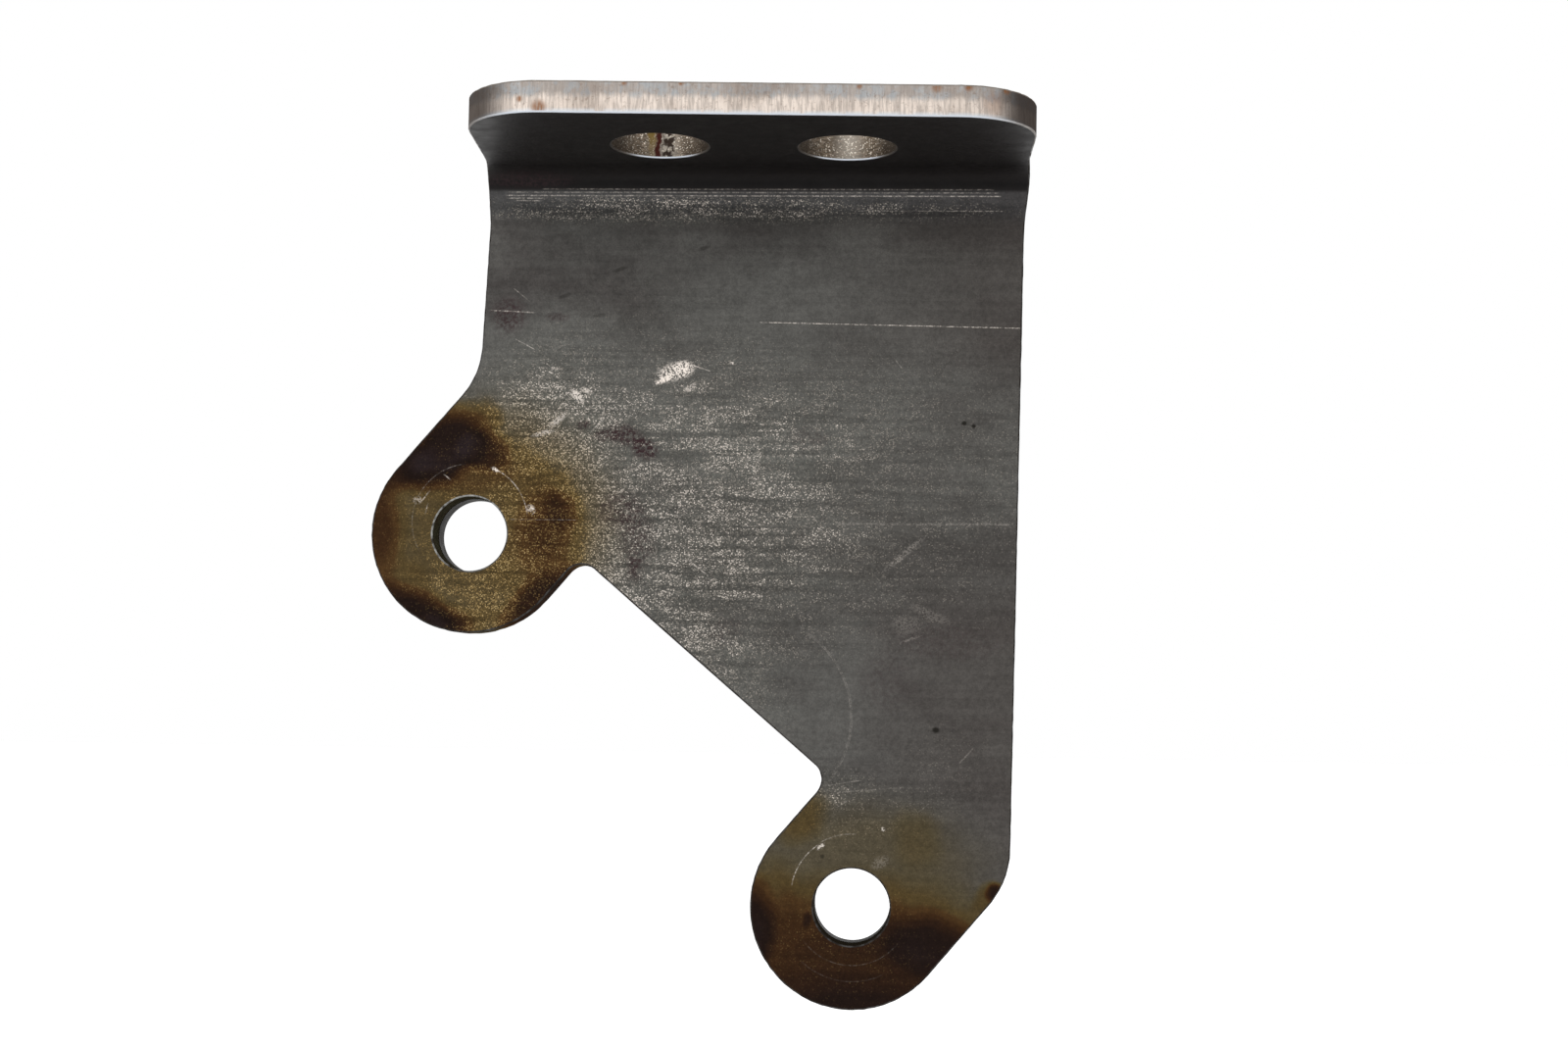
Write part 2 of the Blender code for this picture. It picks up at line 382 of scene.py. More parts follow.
def scale_base(vector):
    """The oxide's slow drift of tone, with faint streaks along the rolling direction."""
    drift = noise(vector, 0.03, (0.6, 1.0, 1.2), detail=4.0, roughness=0.6)
    streak = noise(vector, 0.5, (0.04, 1.0, 1.0), detail=3.0)
    tone = calc("MULTIPLY_ADD", streak, 0.5, -0.25)
    level = calc("ADD", ramp(drift, 0.36, 0.64), tone, clamp=True)
    return lay(SCALE_DARK, SCALE_LIGHT, level)


def wear(vector, front):
    """How worn the skin is, how densely it glitters there, and the rolling streaks."""
    streaks = noise(vector, 0.7, (0.05, 1.0, 1.0), detail=4.0, roughness=0.65, warp=0.2)
    clumps = noise(vector, 0.36, (0.5, 1.0, 1.0), detail=4.0, roughness=0.65)
    worn = times(spot_sum(vector, WORN_PATCHES, 0.6), front)
    streaky = ramp(streaks, 0.34, 0.54, 0.40, 1.0)
    patchy = times(streaky, ramp(clumps, 0.32, 0.62, 0.35, 1.0))
    share = calc("MULTIPLY_ADD", patchy, 1.35, 0.15)
    density = calc("MULTIPLY_ADD", worn, share, BARELY_WORN, clamp=True)
    return worn, density, streaks


print("worn patches:", len(WORN_PATCHES))

# %% [markdown]
# ## Temper colours
#
# Welding each spacer from behind heated the lugs right through. Steel that gets hot in air
# grows a film whose colour tells how hot it was: straw, brown, purple, then blue and grey. So
# the material first adds up one number, heat, from soft patches, and a colour ramp then turns
# heat into colour. The order of colours at every edge of a patch is then right by itself.

# %% Heat patches and the colours of heat
# Each patch is a centre from the lug's own centre, half sizes, a turn and an amount of heat.
UPPER_HEAT = [
    ((1.5, 0), (24.5, 24), 0, 0.16),
    ((10, 8), (32, 32), 0, 0.05),
    ((-6.4, 18.3), (10.2, 5.8), 33, 0.6),
    ((-14, 13.5), (6, 3.2), 44, 0.16),
    ((2.8, 17.8), (4.6, 3.8), 0, 0.3),
    ((-22.4, 2), (6.6, 14), 0, 0.34),
    ((0, 12.5), (12, 4.6), 4, 0.11),
    ((9.5, 15.5), (7, 4), -20, 0.03),
    ((-11, -18.6), (11, 5), -28, 0.56),
    ((-14, -10), (5, 4), -40, 0.08),
    ((17, 2), (6, 10), 0, 0.15),
    ((19.6, 5), (3.6, 3.6), 0, 0.16),
    ((14, -2), (9, 9), 0, 0.09),
    ((15.6, -14.6), (8.5, 4.4), 40, 0.44),
    ((4.5, -18.5), (5.5, 3), 0, 0.06),
    ((-4, -18.8), (5.5, 2.8), 0, 0.16),
]
LOWER_HEAT = [
    ((2, 8), (27, 15), 0, 0.12),
    ((0, -17), (32, 17.5), 0, 0.5),
    ((-21.5, -5), (4.6, 9.5), 0, 0.4),
    ((-17, 1.5), (5.5, 8), 0, 0.09),
    ((-10.5, 18.8), (5.4, 4), 40, 0.13),
    ((13.5, 14), (4.5, 5.5), 0, 0.05),
    ((18, -7.5), (10, 6), -6, 0.3),
    ((0, -24), (20, 9), 0, 0.2),
    ((29.7, 3), (2, 1.5), 48, 0.46),
    ((28.2, 2.2), (3.4, 2.2), 48, 0.14),
    ((-9.2, -2.6), (0.9, 1.3), 0, 0.2),
]
HEAT_COLOURS = [
    (0.00, colour(82, 81, 72)),
    (0.12, colour(77, 69, 51)),
    (0.25, colour(76, 62, 36)),
    (0.36, colour(69, 48, 25)),
    (0.46, colour(54, 34, 17)),
    (0.58, colour(40, 24, 14)),
    (0.70, colour(28, 17, 13)),
    (1.00, colour(38, 29, 30)),
]
HEAT_STRAY = (4.0, 0.0, 4.0)


def heat(vector):
    """Total heat at a point: both lugs' patches, their edges broken up by noise."""
    wobble = add("ShaderNodeTexNoise", Vector=vector, Scale=0.12, Detail=3.0).outputs["Color"]
    centred = vector_calc("SUBTRACT", wobble, (0.5, 0.5, 0.5))[0]
    strayed = vector_calc("MULTIPLY_ADD", centred, HEAT_STRAY, vector)[0]
    total = 0.0
    for centre, table in zip(LUG_CENTRES, (UPPER_HEAT, LOWER_HEAT)):
        total = spot_sum(strayed, table, 0.55, centre, total)
    return total


def heat_colour(total):
    node = add("ShaderNodeValToRGB", Fac=total)
    node.color_ramp.interpolation = "EASE"
    elements = node.color_ramp.elements
    while len(elements) < len(HEAT_COLOURS):
        elements.new(0.5)
    for element, (position, tone) in zip(elements, HEAT_COLOURS):
        element.position = position
        element.color = tone
    return node.outputs[0]


print("heat patches:", len(UPPER_HEAT) + len(LOWER_HEAT), "and colours:", len(HEAT_COLOURS))

# %% [markdown]
# ## Scratches, stains and rub marks
#
# A few marks make this plate this plate: one long scratch near the right edge, the fine lines
# that the press tool left beside the bend, arcs scribed round both bores, some bright rubs and
# some reddish stains. Each kind is a short table of places and sizes in millimetres, read off
# the picture, because a table is quick to correct and a painted image is not.

# %% Marks on the web
LONG_SCRATCHES = [
    # start and end (x, z), half width, brightness
    ((0, -38.3), (56, -39.3), 0.16, 0.5),
    ((16, -81.2), (54, -80.9), 0.34, 0.12),
    ((-58, -36), (-47, -36.5), 0.18, 0.32),
    ((-53, -80.9), (-37.5, -80.9), 0.1, 0.18),
    ((-53, -31), (-49, -34.2), 0.12, 0.25),
    ((-52.5, -42), (-47.5, -44.6), 0.12, 0.3),
    ((-14.5, -47.4), (-9.8, -49), 0.15, 0.6),
    ((-22, -51.8), (-17.5, -49.8), 0.34, 0.95),
    ((-35.8, -62.4), (-32.4, -59), 0.16, 0.35),
    ((-14.6, -88.8), (-9.6, -92.6), 0.2, 0.35),
    ((29, -46), (31, -48.6), 0.12, 0.3),
    ((14.5, -136.2), (23.2, -134.7), 0.14, 0.16),
    ((15.8, -137.6), (32.4, -136), 0.18, 0.1),
    ((17.5, -140.7), (20.8, -138.6), 0.14, 0.18),
    ((46.4, -127.5), (43.1, -131.2), 0.2, 0.12),
    ((34.5, -141.5), (37.5, -139), 0.14, 0.1),
    ((-71.6, -77.6), (-69.4, -74.6), 0.18, 0.4),
    ((-70.6, -80.2), (-69.9, -77.4), 0.16, 0.4),
    ((-67, -71.2), (-65, -72.8), 0.18, 0.45),
    ((-48.4, -78.2), (-46.6, -78.9), 0.2, 0.6),
    ((-47.8, -80.2), (-46.6, -78.7), 0.18, 0.55),
]
SCRIBED_ARCS = [
    # centre (x, z), radius, start and end of the turn in degrees from +X towards +Z, brightness
    ((-60.9, -81.5), 12.4, 6, 72, 0.42),
    ((-60.9, -81.5), 12.4, 95, 215, 0.14),
    ((21.2, -158.7), 12.6, 120, 172, 0.4),
    ((21.2, -158.7), 12.8, 85, 122, 0.16),
    ((21.2, -160.5), 12.4, 215, 325, 0.05),
    ((21.2, -161), 15.2, 225, 300, 0.04),
    ((-0.4, -121.9), 21, -44, 62, 0.09),
    ((-0.4, -121.9), 21.3, -44, 62, 0.09),
]
TOOL_LINES = [
    # height z, from x, to x, brightness
    (-9.9, -47, 50, 0.16),
    (-10.5, -55, 51, 0.18),
    (-11.15, -55, 51.5, 0.34),
    (-11.7, -55, -46, 0.26),
    (-12.2, -53, -46.5, 0.26),
    (-14.2, 21, 52, 0.3),
]
RUBS = [
    # centre, half sizes, turn, brightness
    ((-17.6, -49), (3.4, 1.7), 14, 0.9),
    ((-15.6, -48.3), (1.8, 1.6), 0, 0.55),
    ((-20, -50.6), (2, 0.7), 28, 0.8),
    ((-14.4, -52.4), (1.3, 0.6), 30, 0.45),
    ((-38.5, -54.4), (1.7, 0.8), -38, 0.7),
    ((-36.6, -53.2), (1.4, 0.5), -20, 0.5),
    ((-45.6, -62.4), (2.2, 0.5), 14, 0.45),
    ((-42.5, -59.6), (2.4, 0.6), 40, 0.4),
    ((-55.8, -70.3), (0.7, 0.4), -30, 0.85),
    ((-72.2, -77), (0.9, 0.7), 0, 0.35),
    ((-48, -78.5), (0.8, 0.7), 0, 0.5),
    ((27.1, -151.7), (1.8, 1.1), 30, 0.09),
    ((31.3, -87.5), (5, 0.6), 41, 0.13),
    ((32.1, -102.4), (3, 1.8), 0, 0.06),
    ((36.9, -100), (4.2, 1), -24, 0.07),
    ((33, -105.2), (2, 0.3), 20, 0.12),
    ((14.7, -148.6), (0.9, 0.4), 40, 0.7),
    ((27.6, -144.8), (0.4, 0.4), 0, 0.7),
    ((-5.6, -47.1), (0.4, 0.3), 0, 0.9),
]
STAINS = [
    # centre, half sizes, turn, strength
    ((-53.5, -37), (3.4, 3.6), 30, 0.8),
    ((-43, -37.4), (2.6, 0.9), 0, 0.6),
    ((-32.6, -62.8), (2.4, 1.2), 0, 0.9),
    ((-28.2, -62.6), (3.6, 2), -15, 1.0),
    ((-23.8, -65.6), (2.6, 2), -20, 1.3),
    ((-36.9, -60.6), (1.2, 1), 0, 1.0),
    ((-28.5, -78.6), (4.6, 4), 0, 0.62),
    ((-25, -85), (3.6, 5.6), 0, 0.6),
    ((-25.6, -91.4), (1.6, 2.6), 0, 0.6),
    ((-50, -8.2), (9, 1.3), 0, 0.6),
    ((11, -63), (4, 2.4), 0, 0.3),
    ((40, -106), (11, 3.6), 0, 0.28),
    ((28, -114), (5, 6), 0, 0.26),
    ((-6, -104), (4, 3), 30, 0.3),
]
PITS = [
    # centre, half sizes, turn, darkness
    ((43.8, -59.6), (0.55, 0.45), 0, 0.9),
    ((45.8, -60.2), (0.45, 0.4), 0, 0.9),
    ((38.4, -124.1), (0.75, 0.6), 0, 0.9),
    ((-41.6, -32.8), (1.5, 0.4), 20, 0.45),
    ((-29.8, -27), (1.5, 0.4), 18, 0.45),
    ((-12, -22.4), (1.3, 0.4), 18, 0.4),
    ((-34, -37), (1.5, 0.4), 10, 0.35),
    ((15, -150.6), (0.45, 0.4), 0, 0.6),
]
print("rubs:", len(RUBS), "stains:", len(STAINS), "pits:", len(PITS))

# %% [markdown]
# ## Strokes
#
# A straight scratch is a thin band round a line, and an arc is a thin band round a circle, kept
# to part of the turn. Both are plain sums on the place, so they stay sharp at any distance and
# need no texture. Noise breaks them up later, because a real scratch skips over the surface.

# %% Masks for strokes
FADE_OUT = 1.0
THIN_LINE = 0.16


def line_mask(here, start, end, half_width):
    """1 within half_width of a straight stroke on the web, fading out at both its ends."""
    run = math.dist(start, end)
    right = (end[0] - start[0]) / run
    rise = (end[1] - start[1]) / run
    across, up = offsets(here, start)
    travel = calc("MULTIPLY_ADD", across, right, times(up, rise))
    beside = calc("MULTIPLY_ADD", up, right, times(across, -rise))
    ends = ramp(away(travel, run / 2), run / 2 - FADE_OUT, run / 2, 1.0, 0.0)
    stroke = ramp(calc("ABSOLUTE", beside), half_width * 0.5, half_width, 1.0, 0.0)
    return times(stroke, ends)


def arc_mask(here, centre, radius, start, end):
    """1 on a thin arc round a point of the web between two angles."""
    across, up = offsets(here, centre)
    miss = away(length(across, up), radius)
    turn = less(calc("ARCTAN2", up, across), math.radians((start + end) / 2))
    edge = math.cos(math.radians((end - start) / 2))
    part = ramp(calc("COSINE", turn), edge, edge + (1 - edge) * 0.4)
    return times(ramp(miss, THIN_LINE * 0.4, THIN_LINE, 1.0, 0.0), part)


def stroke_masks(here):
    for start, end, half_width, brightness in LONG_SCRATCHES:
        yield line_mask(here, start, end, half_width), brightness
    for centre, radius, start, end, brightness in SCRIBED_ARCS:
        yield arc_mask(here, centre, radius, start, end), brightness
    for height, start, end, brightness in TOOL_LINES:
        yield line_mask(here, (start, height), (end, height), THIN_LINE), brightness


print("strokes:", len(LONG_SCRATCHES) + len(SCRIBED_ARCS) + len(TOOL_LINES))

# %% [markdown]
# ## The mill scale's layers
#
# The colour goes scale, heat, stains, grains and marks, much in the order in which the real
# surface got them. The grains are a Voronoi mosaic: every cell draws a random number, and it
# shows a round bright grain only where that number beats the skin that is left. That gives
# crisp single grains, which noise can't, and wear only has to move one threshold.

# %% Oxide and grains
SCALE_WARM = colour(72, 67, 64)
SCALE_RUBBED = colour(93, 93, 87)
# painted shade on the web's top, just under the shelf
SCALE_SHELF_SHADE = colour(60, 60, 62)
# painted shade for the fold, and its darkest painted shadow line
SCALE_FOLD_SHADE = colour(25, 21, 20)
FOLD_SHADOW_LINE = colour(10, 8, 8)
WARM_X = (0.0, 55.0)
COOL_HEIGHT = -72.0
SHELF_SHADE_HEIGHTS = (-18.0, -13.5)
INNER_SKIN_DEPTHS = (2.0, 4.0)
SHADE_ENDS = (7.6, 8.5)
FOLD_LINE_PLACE = 6.6
LUG_TINT_BEHIND = 0.6


def dimmed(base, amount):
    """A colour times a number."""
    return vector_calc("SCALE", base, Scale=amount)[0]


def grains(vector, per_mm, share):
    """One round grain in each cell of a random mosaic, brighter the higher the cell's number."""
    cell = add("ShaderNodeTexVoronoi", Vector=vector, Scale=per_mm)
    draw = add("ShaderNodeSeparateColor", i0=cell.outputs["Color"]).outputs[0]
    luck = calc("ADD", draw, less(share, 1.0))
    round_off = ramp(cell.outputs["Distance"], 0.15, 0.75, 1.0, 0.0)
    return times(ramp(luck, 0.0, 0.9), round_off), luck


def oxide(here, flat, worn):
    """The oxide where the plate is cold: rubbed, warmer to the right, with painted shade on the web
    just under the fold.
    """
    base = scale_base(here.vector)
    base = lay(base, SCALE_RUBBED, times(worn, 0.6, clamp=True))
    from_cool = ramp(away(here.z, COOL_HEIGHT), 18.0, 34.0, 0.2, 1.0)
    warmth = times(ramp(here.x, *WARM_X, 0.0, 0.6), from_cool)
    base = lay(base, SCALE_WARM, warmth)
    inner = ramp(flat.depth, *INNER_SKIN_DEPTHS, 1.0, 0.0)
    # painted shade on the web's front just under the fold
    shelf_shade = times(ramp(here.z, *SHELF_SHADE_HEIGHTS, 0.0, 0.6), inner)
    return lay(base, SCALE_SHELF_SHADE, shelf_shade), inner


def grained(vector, base, grain, streaks, worn):
    """A colour darkened a little by grain, rolling streaks and mottling."""
    depth_of_grain = calc("MULTIPLY_ADD", worn, 0.20, 0.10, clamp=True)
    mottle = noise(vector, 0.9, detail=4.0, roughness=0.75)
    dark_grain = ramp(grain, 0.34, 0.60, -1.0, 0.6)
    dim = calc("MULTIPLY_ADD", dark_grain, depth_of_grain, 1.0)
    dark_streak = ramp(streaks, 0.36, 0.60, -0.7, 0.3)
    band = calc("MULTIPLY_ADD", dark_streak, depth_of_grain, 1.0)
    dim = times(dim, ramp(mottle, 0.34, 0.66, 0.86, 1.10), band)
    return dimmed(base, dim)


def shaded_fold(flat, base, inner):
    """Painted shade: the shelf's underside and the inside of the bend are darkened, and a painted
    shadow line darkens the fold.
    """
    shaded = times(ramp(flat.across, *SHADE_ENDS, 1.0, 0.0), inner)
    crease_shadow = ramp(away(flat.across, FOLD_LINE_PLACE), 0.0, 2.4, 1.0, 0.0)
    base = lay(base, SCALE_FOLD_SHADE, times(shaded, 0.90))
    return lay(base, FOLD_SHADOW_LINE, times(crease_shadow, inner, 0.85)), shaded


print("fold line at", FOLD_LINE_PLACE, "mm round the bend")

# %% [markdown]
# ## Bare steel in the mill scale
#
# Stains lie on the oxide, grains and scratches go through it, and pits go deeper still. Most
# grains are dull, and the luckiest carry a painted glint, a bright speck of colour. Next to a hot
# lug they turn golden. Bare steel is shinier than oxide, so one mask of it also lowers the
# roughness, and the pits sink the bump.

# %% Build the mill scale material
GRAIN = colour(164, 156, 146)
GRAIN_GOLD = colour(146, 120, 74)
# bright bare steel for scratches and rubs, and the colour of the painted glints
BARE_STEEL_AND_GLINT = colour(230, 220, 210)
GLINT_GOLD = colour(212, 188, 138)
STAIN = colour(52, 37, 39)
PIT = colour(28, 26, 22)
SCALE_GLOSS = 0.25
GRAINS_PER_MM = 3.7


def steel_grains(vector, base, density, stain, hot, shaded):
    """Grains of bare steel: many dull ones, and a few with a painted glint."""
    open_to_wear = times(density, less(1.0, shaded))
    covered = calc("MULTIPLY_ADD", stain, -0.5, ramp(hot, 0.2, 0.7, 1.0, 0.45))
    open_to_wear = times(open_to_wear, covered, clamp=True)
    golden = ramp(hot, 0.03, 0.2)
    many, luck = grains(vector, GRAINS_PER_MM, open_to_wear)
    base = lay(base, lay(GRAIN, GRAIN_GOLD, golden), many)
    # painted glints: the luckiest grains get a bright speck of colour
    glint = times(ramp(luck, 0.60, 0.85), many)
    seen = times(glint, ramp(hot, 0.02, 0.16, 0.7, 0.4))
    return lay(base, lay(BARE_STEEL_AND_GLINT, GLINT_GOLD, golden), seen), glint


def bare_marks(here, grain, front):
    """Scratches that skip over the surface, and rubs with hatching in them."""
    broken = ramp(noise(here.vector, 1.3, detail=2.0, roughness=0.7), 0.42, 0.60, 0.2, 1.0)
    strokes = times(weighted_sum(stroke_masks(here)), broken)
    hatched = ramp(grain, 0.40, 0.56)
    strokes = times(strokes, ramp(hatched, 0.0, 1.0, 0.5, 1.15))
    rubbed = spot_sum(here.vector, RUBS, 0.45)
    return times(calc("MULTIPLY_ADD", rubbed, hatched, strokes, clamp=True), front)


def mill_scale():
    material, tree, shader = new_material("mill_scale_steel")
    here = places(tree)
    flat = blank_places(tree)
    front = front_only(here)
    worn, density, streaks = wear(here.vector, front)
    grain = noise(here.vector, 2.9, detail=2.0, roughness=0.6)
    base, inner = oxide(here, flat, worn)

    # Heat, and a ring of it round each spacer on the web's back
    behind = less(1.0, front)
    ring = ramp(from_lug(here), 16.0, 23.0, LUG_TINT_BEHIND, 0.0)
    hot = calc("MULTIPLY_ADD", ring, behind, heat(here.vector))
    base = lay(base, heat_colour(hot), ramp(hot, 0.01, 0.16))
    base = grained(here.vector, base, grain, streaks, worn)
    base, shaded = shaded_fold(flat, base, inner)

    # Stains, steel and pits
    patches = noise(here.vector, 1.5, detail=3.0, roughness=0.7)
    speckled = ramp(patches, 0.38, 0.62, 0.15, 1.0)
    stain = spot_sum(here.vector, STAINS, 0.5)
    stain = times(stain, speckled, front, clamp=True)
    base = lay(base, STAIN, stain)
    base, glint = steel_grains(here.vector, base, density, stain, hot, shaded)
    bare = bare_marks(here, grain, front)
    base = lay(base, BARE_STEEL_AND_GLINT, bare)
    pits = spot_sum(here.vector, PITS, 0.5)
    base = lay(base, PIT, times(pits, front, clamp=True))

    # Roughness and height, and less metal where the fold's painted shade lies
    shine = calc("ADD", glint, bare, clamp=True)
    satin = ramp(noise(here.vector, 0.25, detail=4.0), 0.3, 0.7, 0.44, 0.56)
    rough = calc("MULTIPLY_ADD", shine, -0.14, satin)
    finish_look(shader, base, rough, ramp(shaded, 0.0, 1.0, 0.85, 0.60), SCALE_GLOSS)
    fine = noise(here.vector, 1.6, detail=3.0, roughness=0.6)
    height = calc("MULTIPLY_ADD", streaks, 0.5, times(fine, 0.5))
    bump(shader, calc("MULTIPLY_ADD", pits, -2.0, height), 0.35, 0.04)
    return material


MILL_SCALE = mill_scale()
print("mill scale nodes:", len(MILL_SCALE.node_tree.nodes))

# %% [markdown]
# ## Cut edges
#
# The outline was cut through the plate with a hot jet, and the two faces that it left differ
# from the rolled skin in every way: bright, beige-grey, and ribbed straight across the
# thickness by fine drag lines. The half where the jet came out is rougher and duller. Drag
# lines follow the outline round every corner and over the bend, so this material reads the
# "blank" attribute, not the place in the room: a point's place along the fold, across the fold,
# and its depth in the plate.

# %% Cut edge material
CUT_LIGHT = colour(226, 213, 202)
CUT_MID = colour(186, 175, 166)
CUT_DULL = colour(140, 134, 130)
CUT_BLUE = colour(150, 158, 164)
CUT_BROWN = colour(116, 96, 80)
# painted highlight along the cut face's lower rim
CUT_RIM_HIGHLIGHT = colour(208, 214, 219)
# painted shade for the cut face's corners and for its edges away from the front
CUT_CORNER_SHADE = colour(66, 59, 55)
CUT_RIGHT_CORNER_SHADE = colour(52, 45, 42)
CUT_BEYOND_SHADE = colour(44, 40, 37)
RUST = colour(132, 84, 42)
CUT_TINT = (0.30, 0.28, 0.26, 1.0)
CORNER_REACH = (45.0, 53.0)
RIGHT_CORNER_X = (47.0, 53.0)
BEYOND_FRONT_Y = (-12.0, 6.0)
RUST_SPOTS = [
    # blank u, blank v, depth, half size, rust strength
    (-43.6, -41.2, 2.7, 0.7, 0.9),
    (-39.8, -41.6, 1.0, 1.6, 0.9),
    (-23.3, -40.9, 6.0, 0.7, 0.8),
    (-12.4, -40.4, 6.0, 0.6, 0.8),
    (21.9, -39.0, 5.8, 0.7, 0.7),
    (36.7, -38.3, 5.7, 1.1, 0.7),
    (42.8, -38.0, 5.9, 1.0, 0.85),
    (50.3, -35.2, 6.1, 1.0, 0.9),
    (47.5, -36.6, 3.0, 2.6, 0.35),
]


def rust(blank, drag):
    """Rust spots along the shelf's front, found by their distance on the flat blank."""
    total = 0.0
    for u, v, depth, size, strength in RUST_SPOTS:
        gap = vector_calc("DISTANCE", blank, (u, v, depth))["Value"]
        total = calc("ADD", total, ramp(gap, size * 0.3, size * 1.3, strength, 0.0))
    return times(total, ramp(drag, 0.3, 0.55, 0.4, 1.0), clamp=True)


def cut_edge():
    material, tree, shader = new_material("cut_edge_steel")
    flat = blank_places(tree)
    here = places(tree)
    drag = noise(flat.vector, 2.4, (1.0, 1.0, 0.10), detail=3.0, roughness=0.65)
    drift = noise(flat.vector, 0.45, (1.0, 1.0, 0.7), detail=4.0, roughness=0.65)
    coarse = noise(flat.vector, 0.08, detail=2.0)
    base = lay(CUT_MID, CUT_LIGHT, ramp(drag, 0.36, 0.62))

    # The far half, where the jet came out, and brown freckles
    level = calc("MULTIPLY_ADD", drift, 2.4, less(flat.depth, 1.2))
    dull = lay(CUT_DULL, CUT_BLUE, ramp(drift, 0.45, 0.62))
    base = lay(base, dull, times(ramp(level, 2.7, 4.3), 0.72))
    freckle = ramp(noise(flat.vector, 1.4, detail=3.0, roughness=0.7), 0.56, 0.68)
    base = lay(base, CUT_BROWN, times(freckle, 0.35))
    base = lay(base, CUT_BROWN, times(ramp(coarse, 0.5, 0.68), 0.3))

    # Painted light on the cut face: a highlight along its lower rim, and shade at the shelf's two
    # front corners and on every edge away from the front, with less metal there
    corner = ramp(away(here.x, 1.0), *CORNER_REACH)
    # painted highlight: a bluish-white line along the cut face's lower rim
    low_rim_highlight = ramp(flat.depth, 0.3, 1.1, 0.7, 0.0)
    base = lay(base, CUT_RIM_HIGHLIGHT, times(low_rim_highlight, ramp(drift, 0.3, 0.5)))
    # painted shade at the corners, the right one most, and on edges away from the front
    base = lay(base, CUT_CORNER_SHADE, times(corner, 0.88))
    base = lay(base, CUT_RIGHT_CORNER_SHADE, ramp(here.x, *RIGHT_CORNER_X, 0.0, 0.6))
    beyond = ramp(here.y, *BEYOND_FRONT_Y)
    base = lay(base, CUT_BEYOND_SHADE, times(beyond, 0.88))
    base = lay(base, RUST, rust(flat.vector, drag))

    # The lugs' rims carry the colours of the welding heat as well
    hot = heat(here.vector)
    base = lay(base, heat_colour(hot), ramp(hot, 0.02, 0.3, 0.0, 0.85))
    shaded_edges = calc("MAXIMUM", beyond, times(corner, 0.8))
    metallic = ramp(shaded_edges, 0.0, 1.0, 0.75, 0.0)
    finish_look(shader, base, ramp(drift, 0.3, 0.7, 0.42, 0.60), metallic, 0.0, CUT_TINT)
    bump(shader, drag, 0.6, 0.09)
    return material


CUT_EDGE = cut_edge()
print("cut edge nodes:", len(CUT_EDGE.node_tree.nodes), "and rust spots:", len(RUST_SPOTS))

# %% [markdown]
# ## Drilled walls
#
# The antenna holes' walls are bright as well, but drilling leaves fine rings and speckles
# instead of ribs, and the left hole has one burnt streak, yellow, red and black side by side.
# The lug bores are darker, because the weld heat reached them. Both materials stretch one noise
# into rings, and the bore's takes the same heat as the skin round it.

# %% Hole wall and bore wall materials
DRILLED_DARK = colour(86, 76, 65)
DRILLED_LIGHT = colour(140, 125, 108)
DRILLED_BROWN = colour(86, 74, 61)
DRILLED_GLINT = colour(246, 236, 220)
# painted shade at the sides of the far wall, and a painted highlight down its middle
DRILLED_SIDE_SHADE = colour(52, 44, 37)
DRILLED_MIDDLE_HIGHLIGHT = colour(206, 200, 190)
BURNT_STRIPES = [
    # colour, and where it starts and stops from left to right, each as a soft step in x
    (colour(122, 98, 26), (-21.6, -20.9), (-19.9, -19.3)),
    (colour(62, 24, 16), (-19.9, -19.4), (-18.9, -18.3)),
    (colour(44, 33, 26), (-18.6, -18.0), (-16.4, -15.4)),
]
BORE_DARK = colour(44, 42, 32)
BORE_LIGHT = colour(78, 75, 58)
BORE_BROWN = colour(56, 42, 28)
BORE_BURNT = colour(34, 28, 21)
BORE_TINT = (0.25, 0.24, 0.2, 1.0)


def from_hole_middle(here):
    """The distance along the fold from the nearer antenna hole's axis."""
    return away(calc("ABSOLUTE", here.x), ANTENNA_HOLE_OFFSET / MM)


def burnt_streak(here, flat, base):
    """The burnt streak runs down the far wall of the left antenna hole."""
    left = times(ramp(here.x, -12.0, -8.0, 1.0, 0.0), ramp(here.y, 4.0, 7.0))
    shift = noise(here.vector, 0.5, detail=2.0)
    place = calc("MULTIPLY_ADD", shift, 2.4, here.x)
    broken = ramp(noise(here.vector, 0.9, detail=3.0), 0.42, 0.55)
    faded = ramp(flat.depth, 0.5, 5.5, 0.25, 0.8)
    for (tone, start, stop), share in zip(BURNT_STRIPES, (faded, 1.0, broken)):
        stripe = less(ramp(place, *start), ramp(place, *stop))
        base = lay(base, tone, times(stripe, share, left))
    return base


def hole_wall():
    material, tree, shader = new_material("drilled_steel")
    flat = blank_places(tree)
    here = places(tree)
    rings = noise(flat.vector, 2.0, (0.5, 0.5, 1.6), detail=3.0, roughness=0.7)
    speckle = noise(flat.vector, 2.8, detail=1.0)
    drift = noise(flat.vector, 0.3, detail=3.0)
    base = lay(DRILLED_DARK, DRILLED_LIGHT, ramp(rings, 0.35, 0.65))
    base = lay(base, DRILLED_BROWN, ramp(drift, 0.45, 0.7, 0.0, 0.6))
    base = lay(base, DRILLED_GLINT, ramp(speckle, 0.60, 0.68, 0.0, 0.9))

    # Painted highlight down the far wall's middle, and painted shade towards its sides
    from_middle = from_hole_middle(here)
    base = lay(base, DRILLED_SIDE_SHADE, ramp(from_middle, 4.5, 9.0, 0.0, 0.75))
    base = lay(base, DRILLED_MIDDLE_HIGHLIGHT, ramp(from_middle, 0.0, 4.5, 0.36, 0.0))
    base = burnt_streak(here, flat, base)
    finish_look(shader, base, ramp(speckle, 0.5, 0.7, 0.46, 0.28), 0.8)
    bump(shader, rings, 0.5, 0.06)
    return material


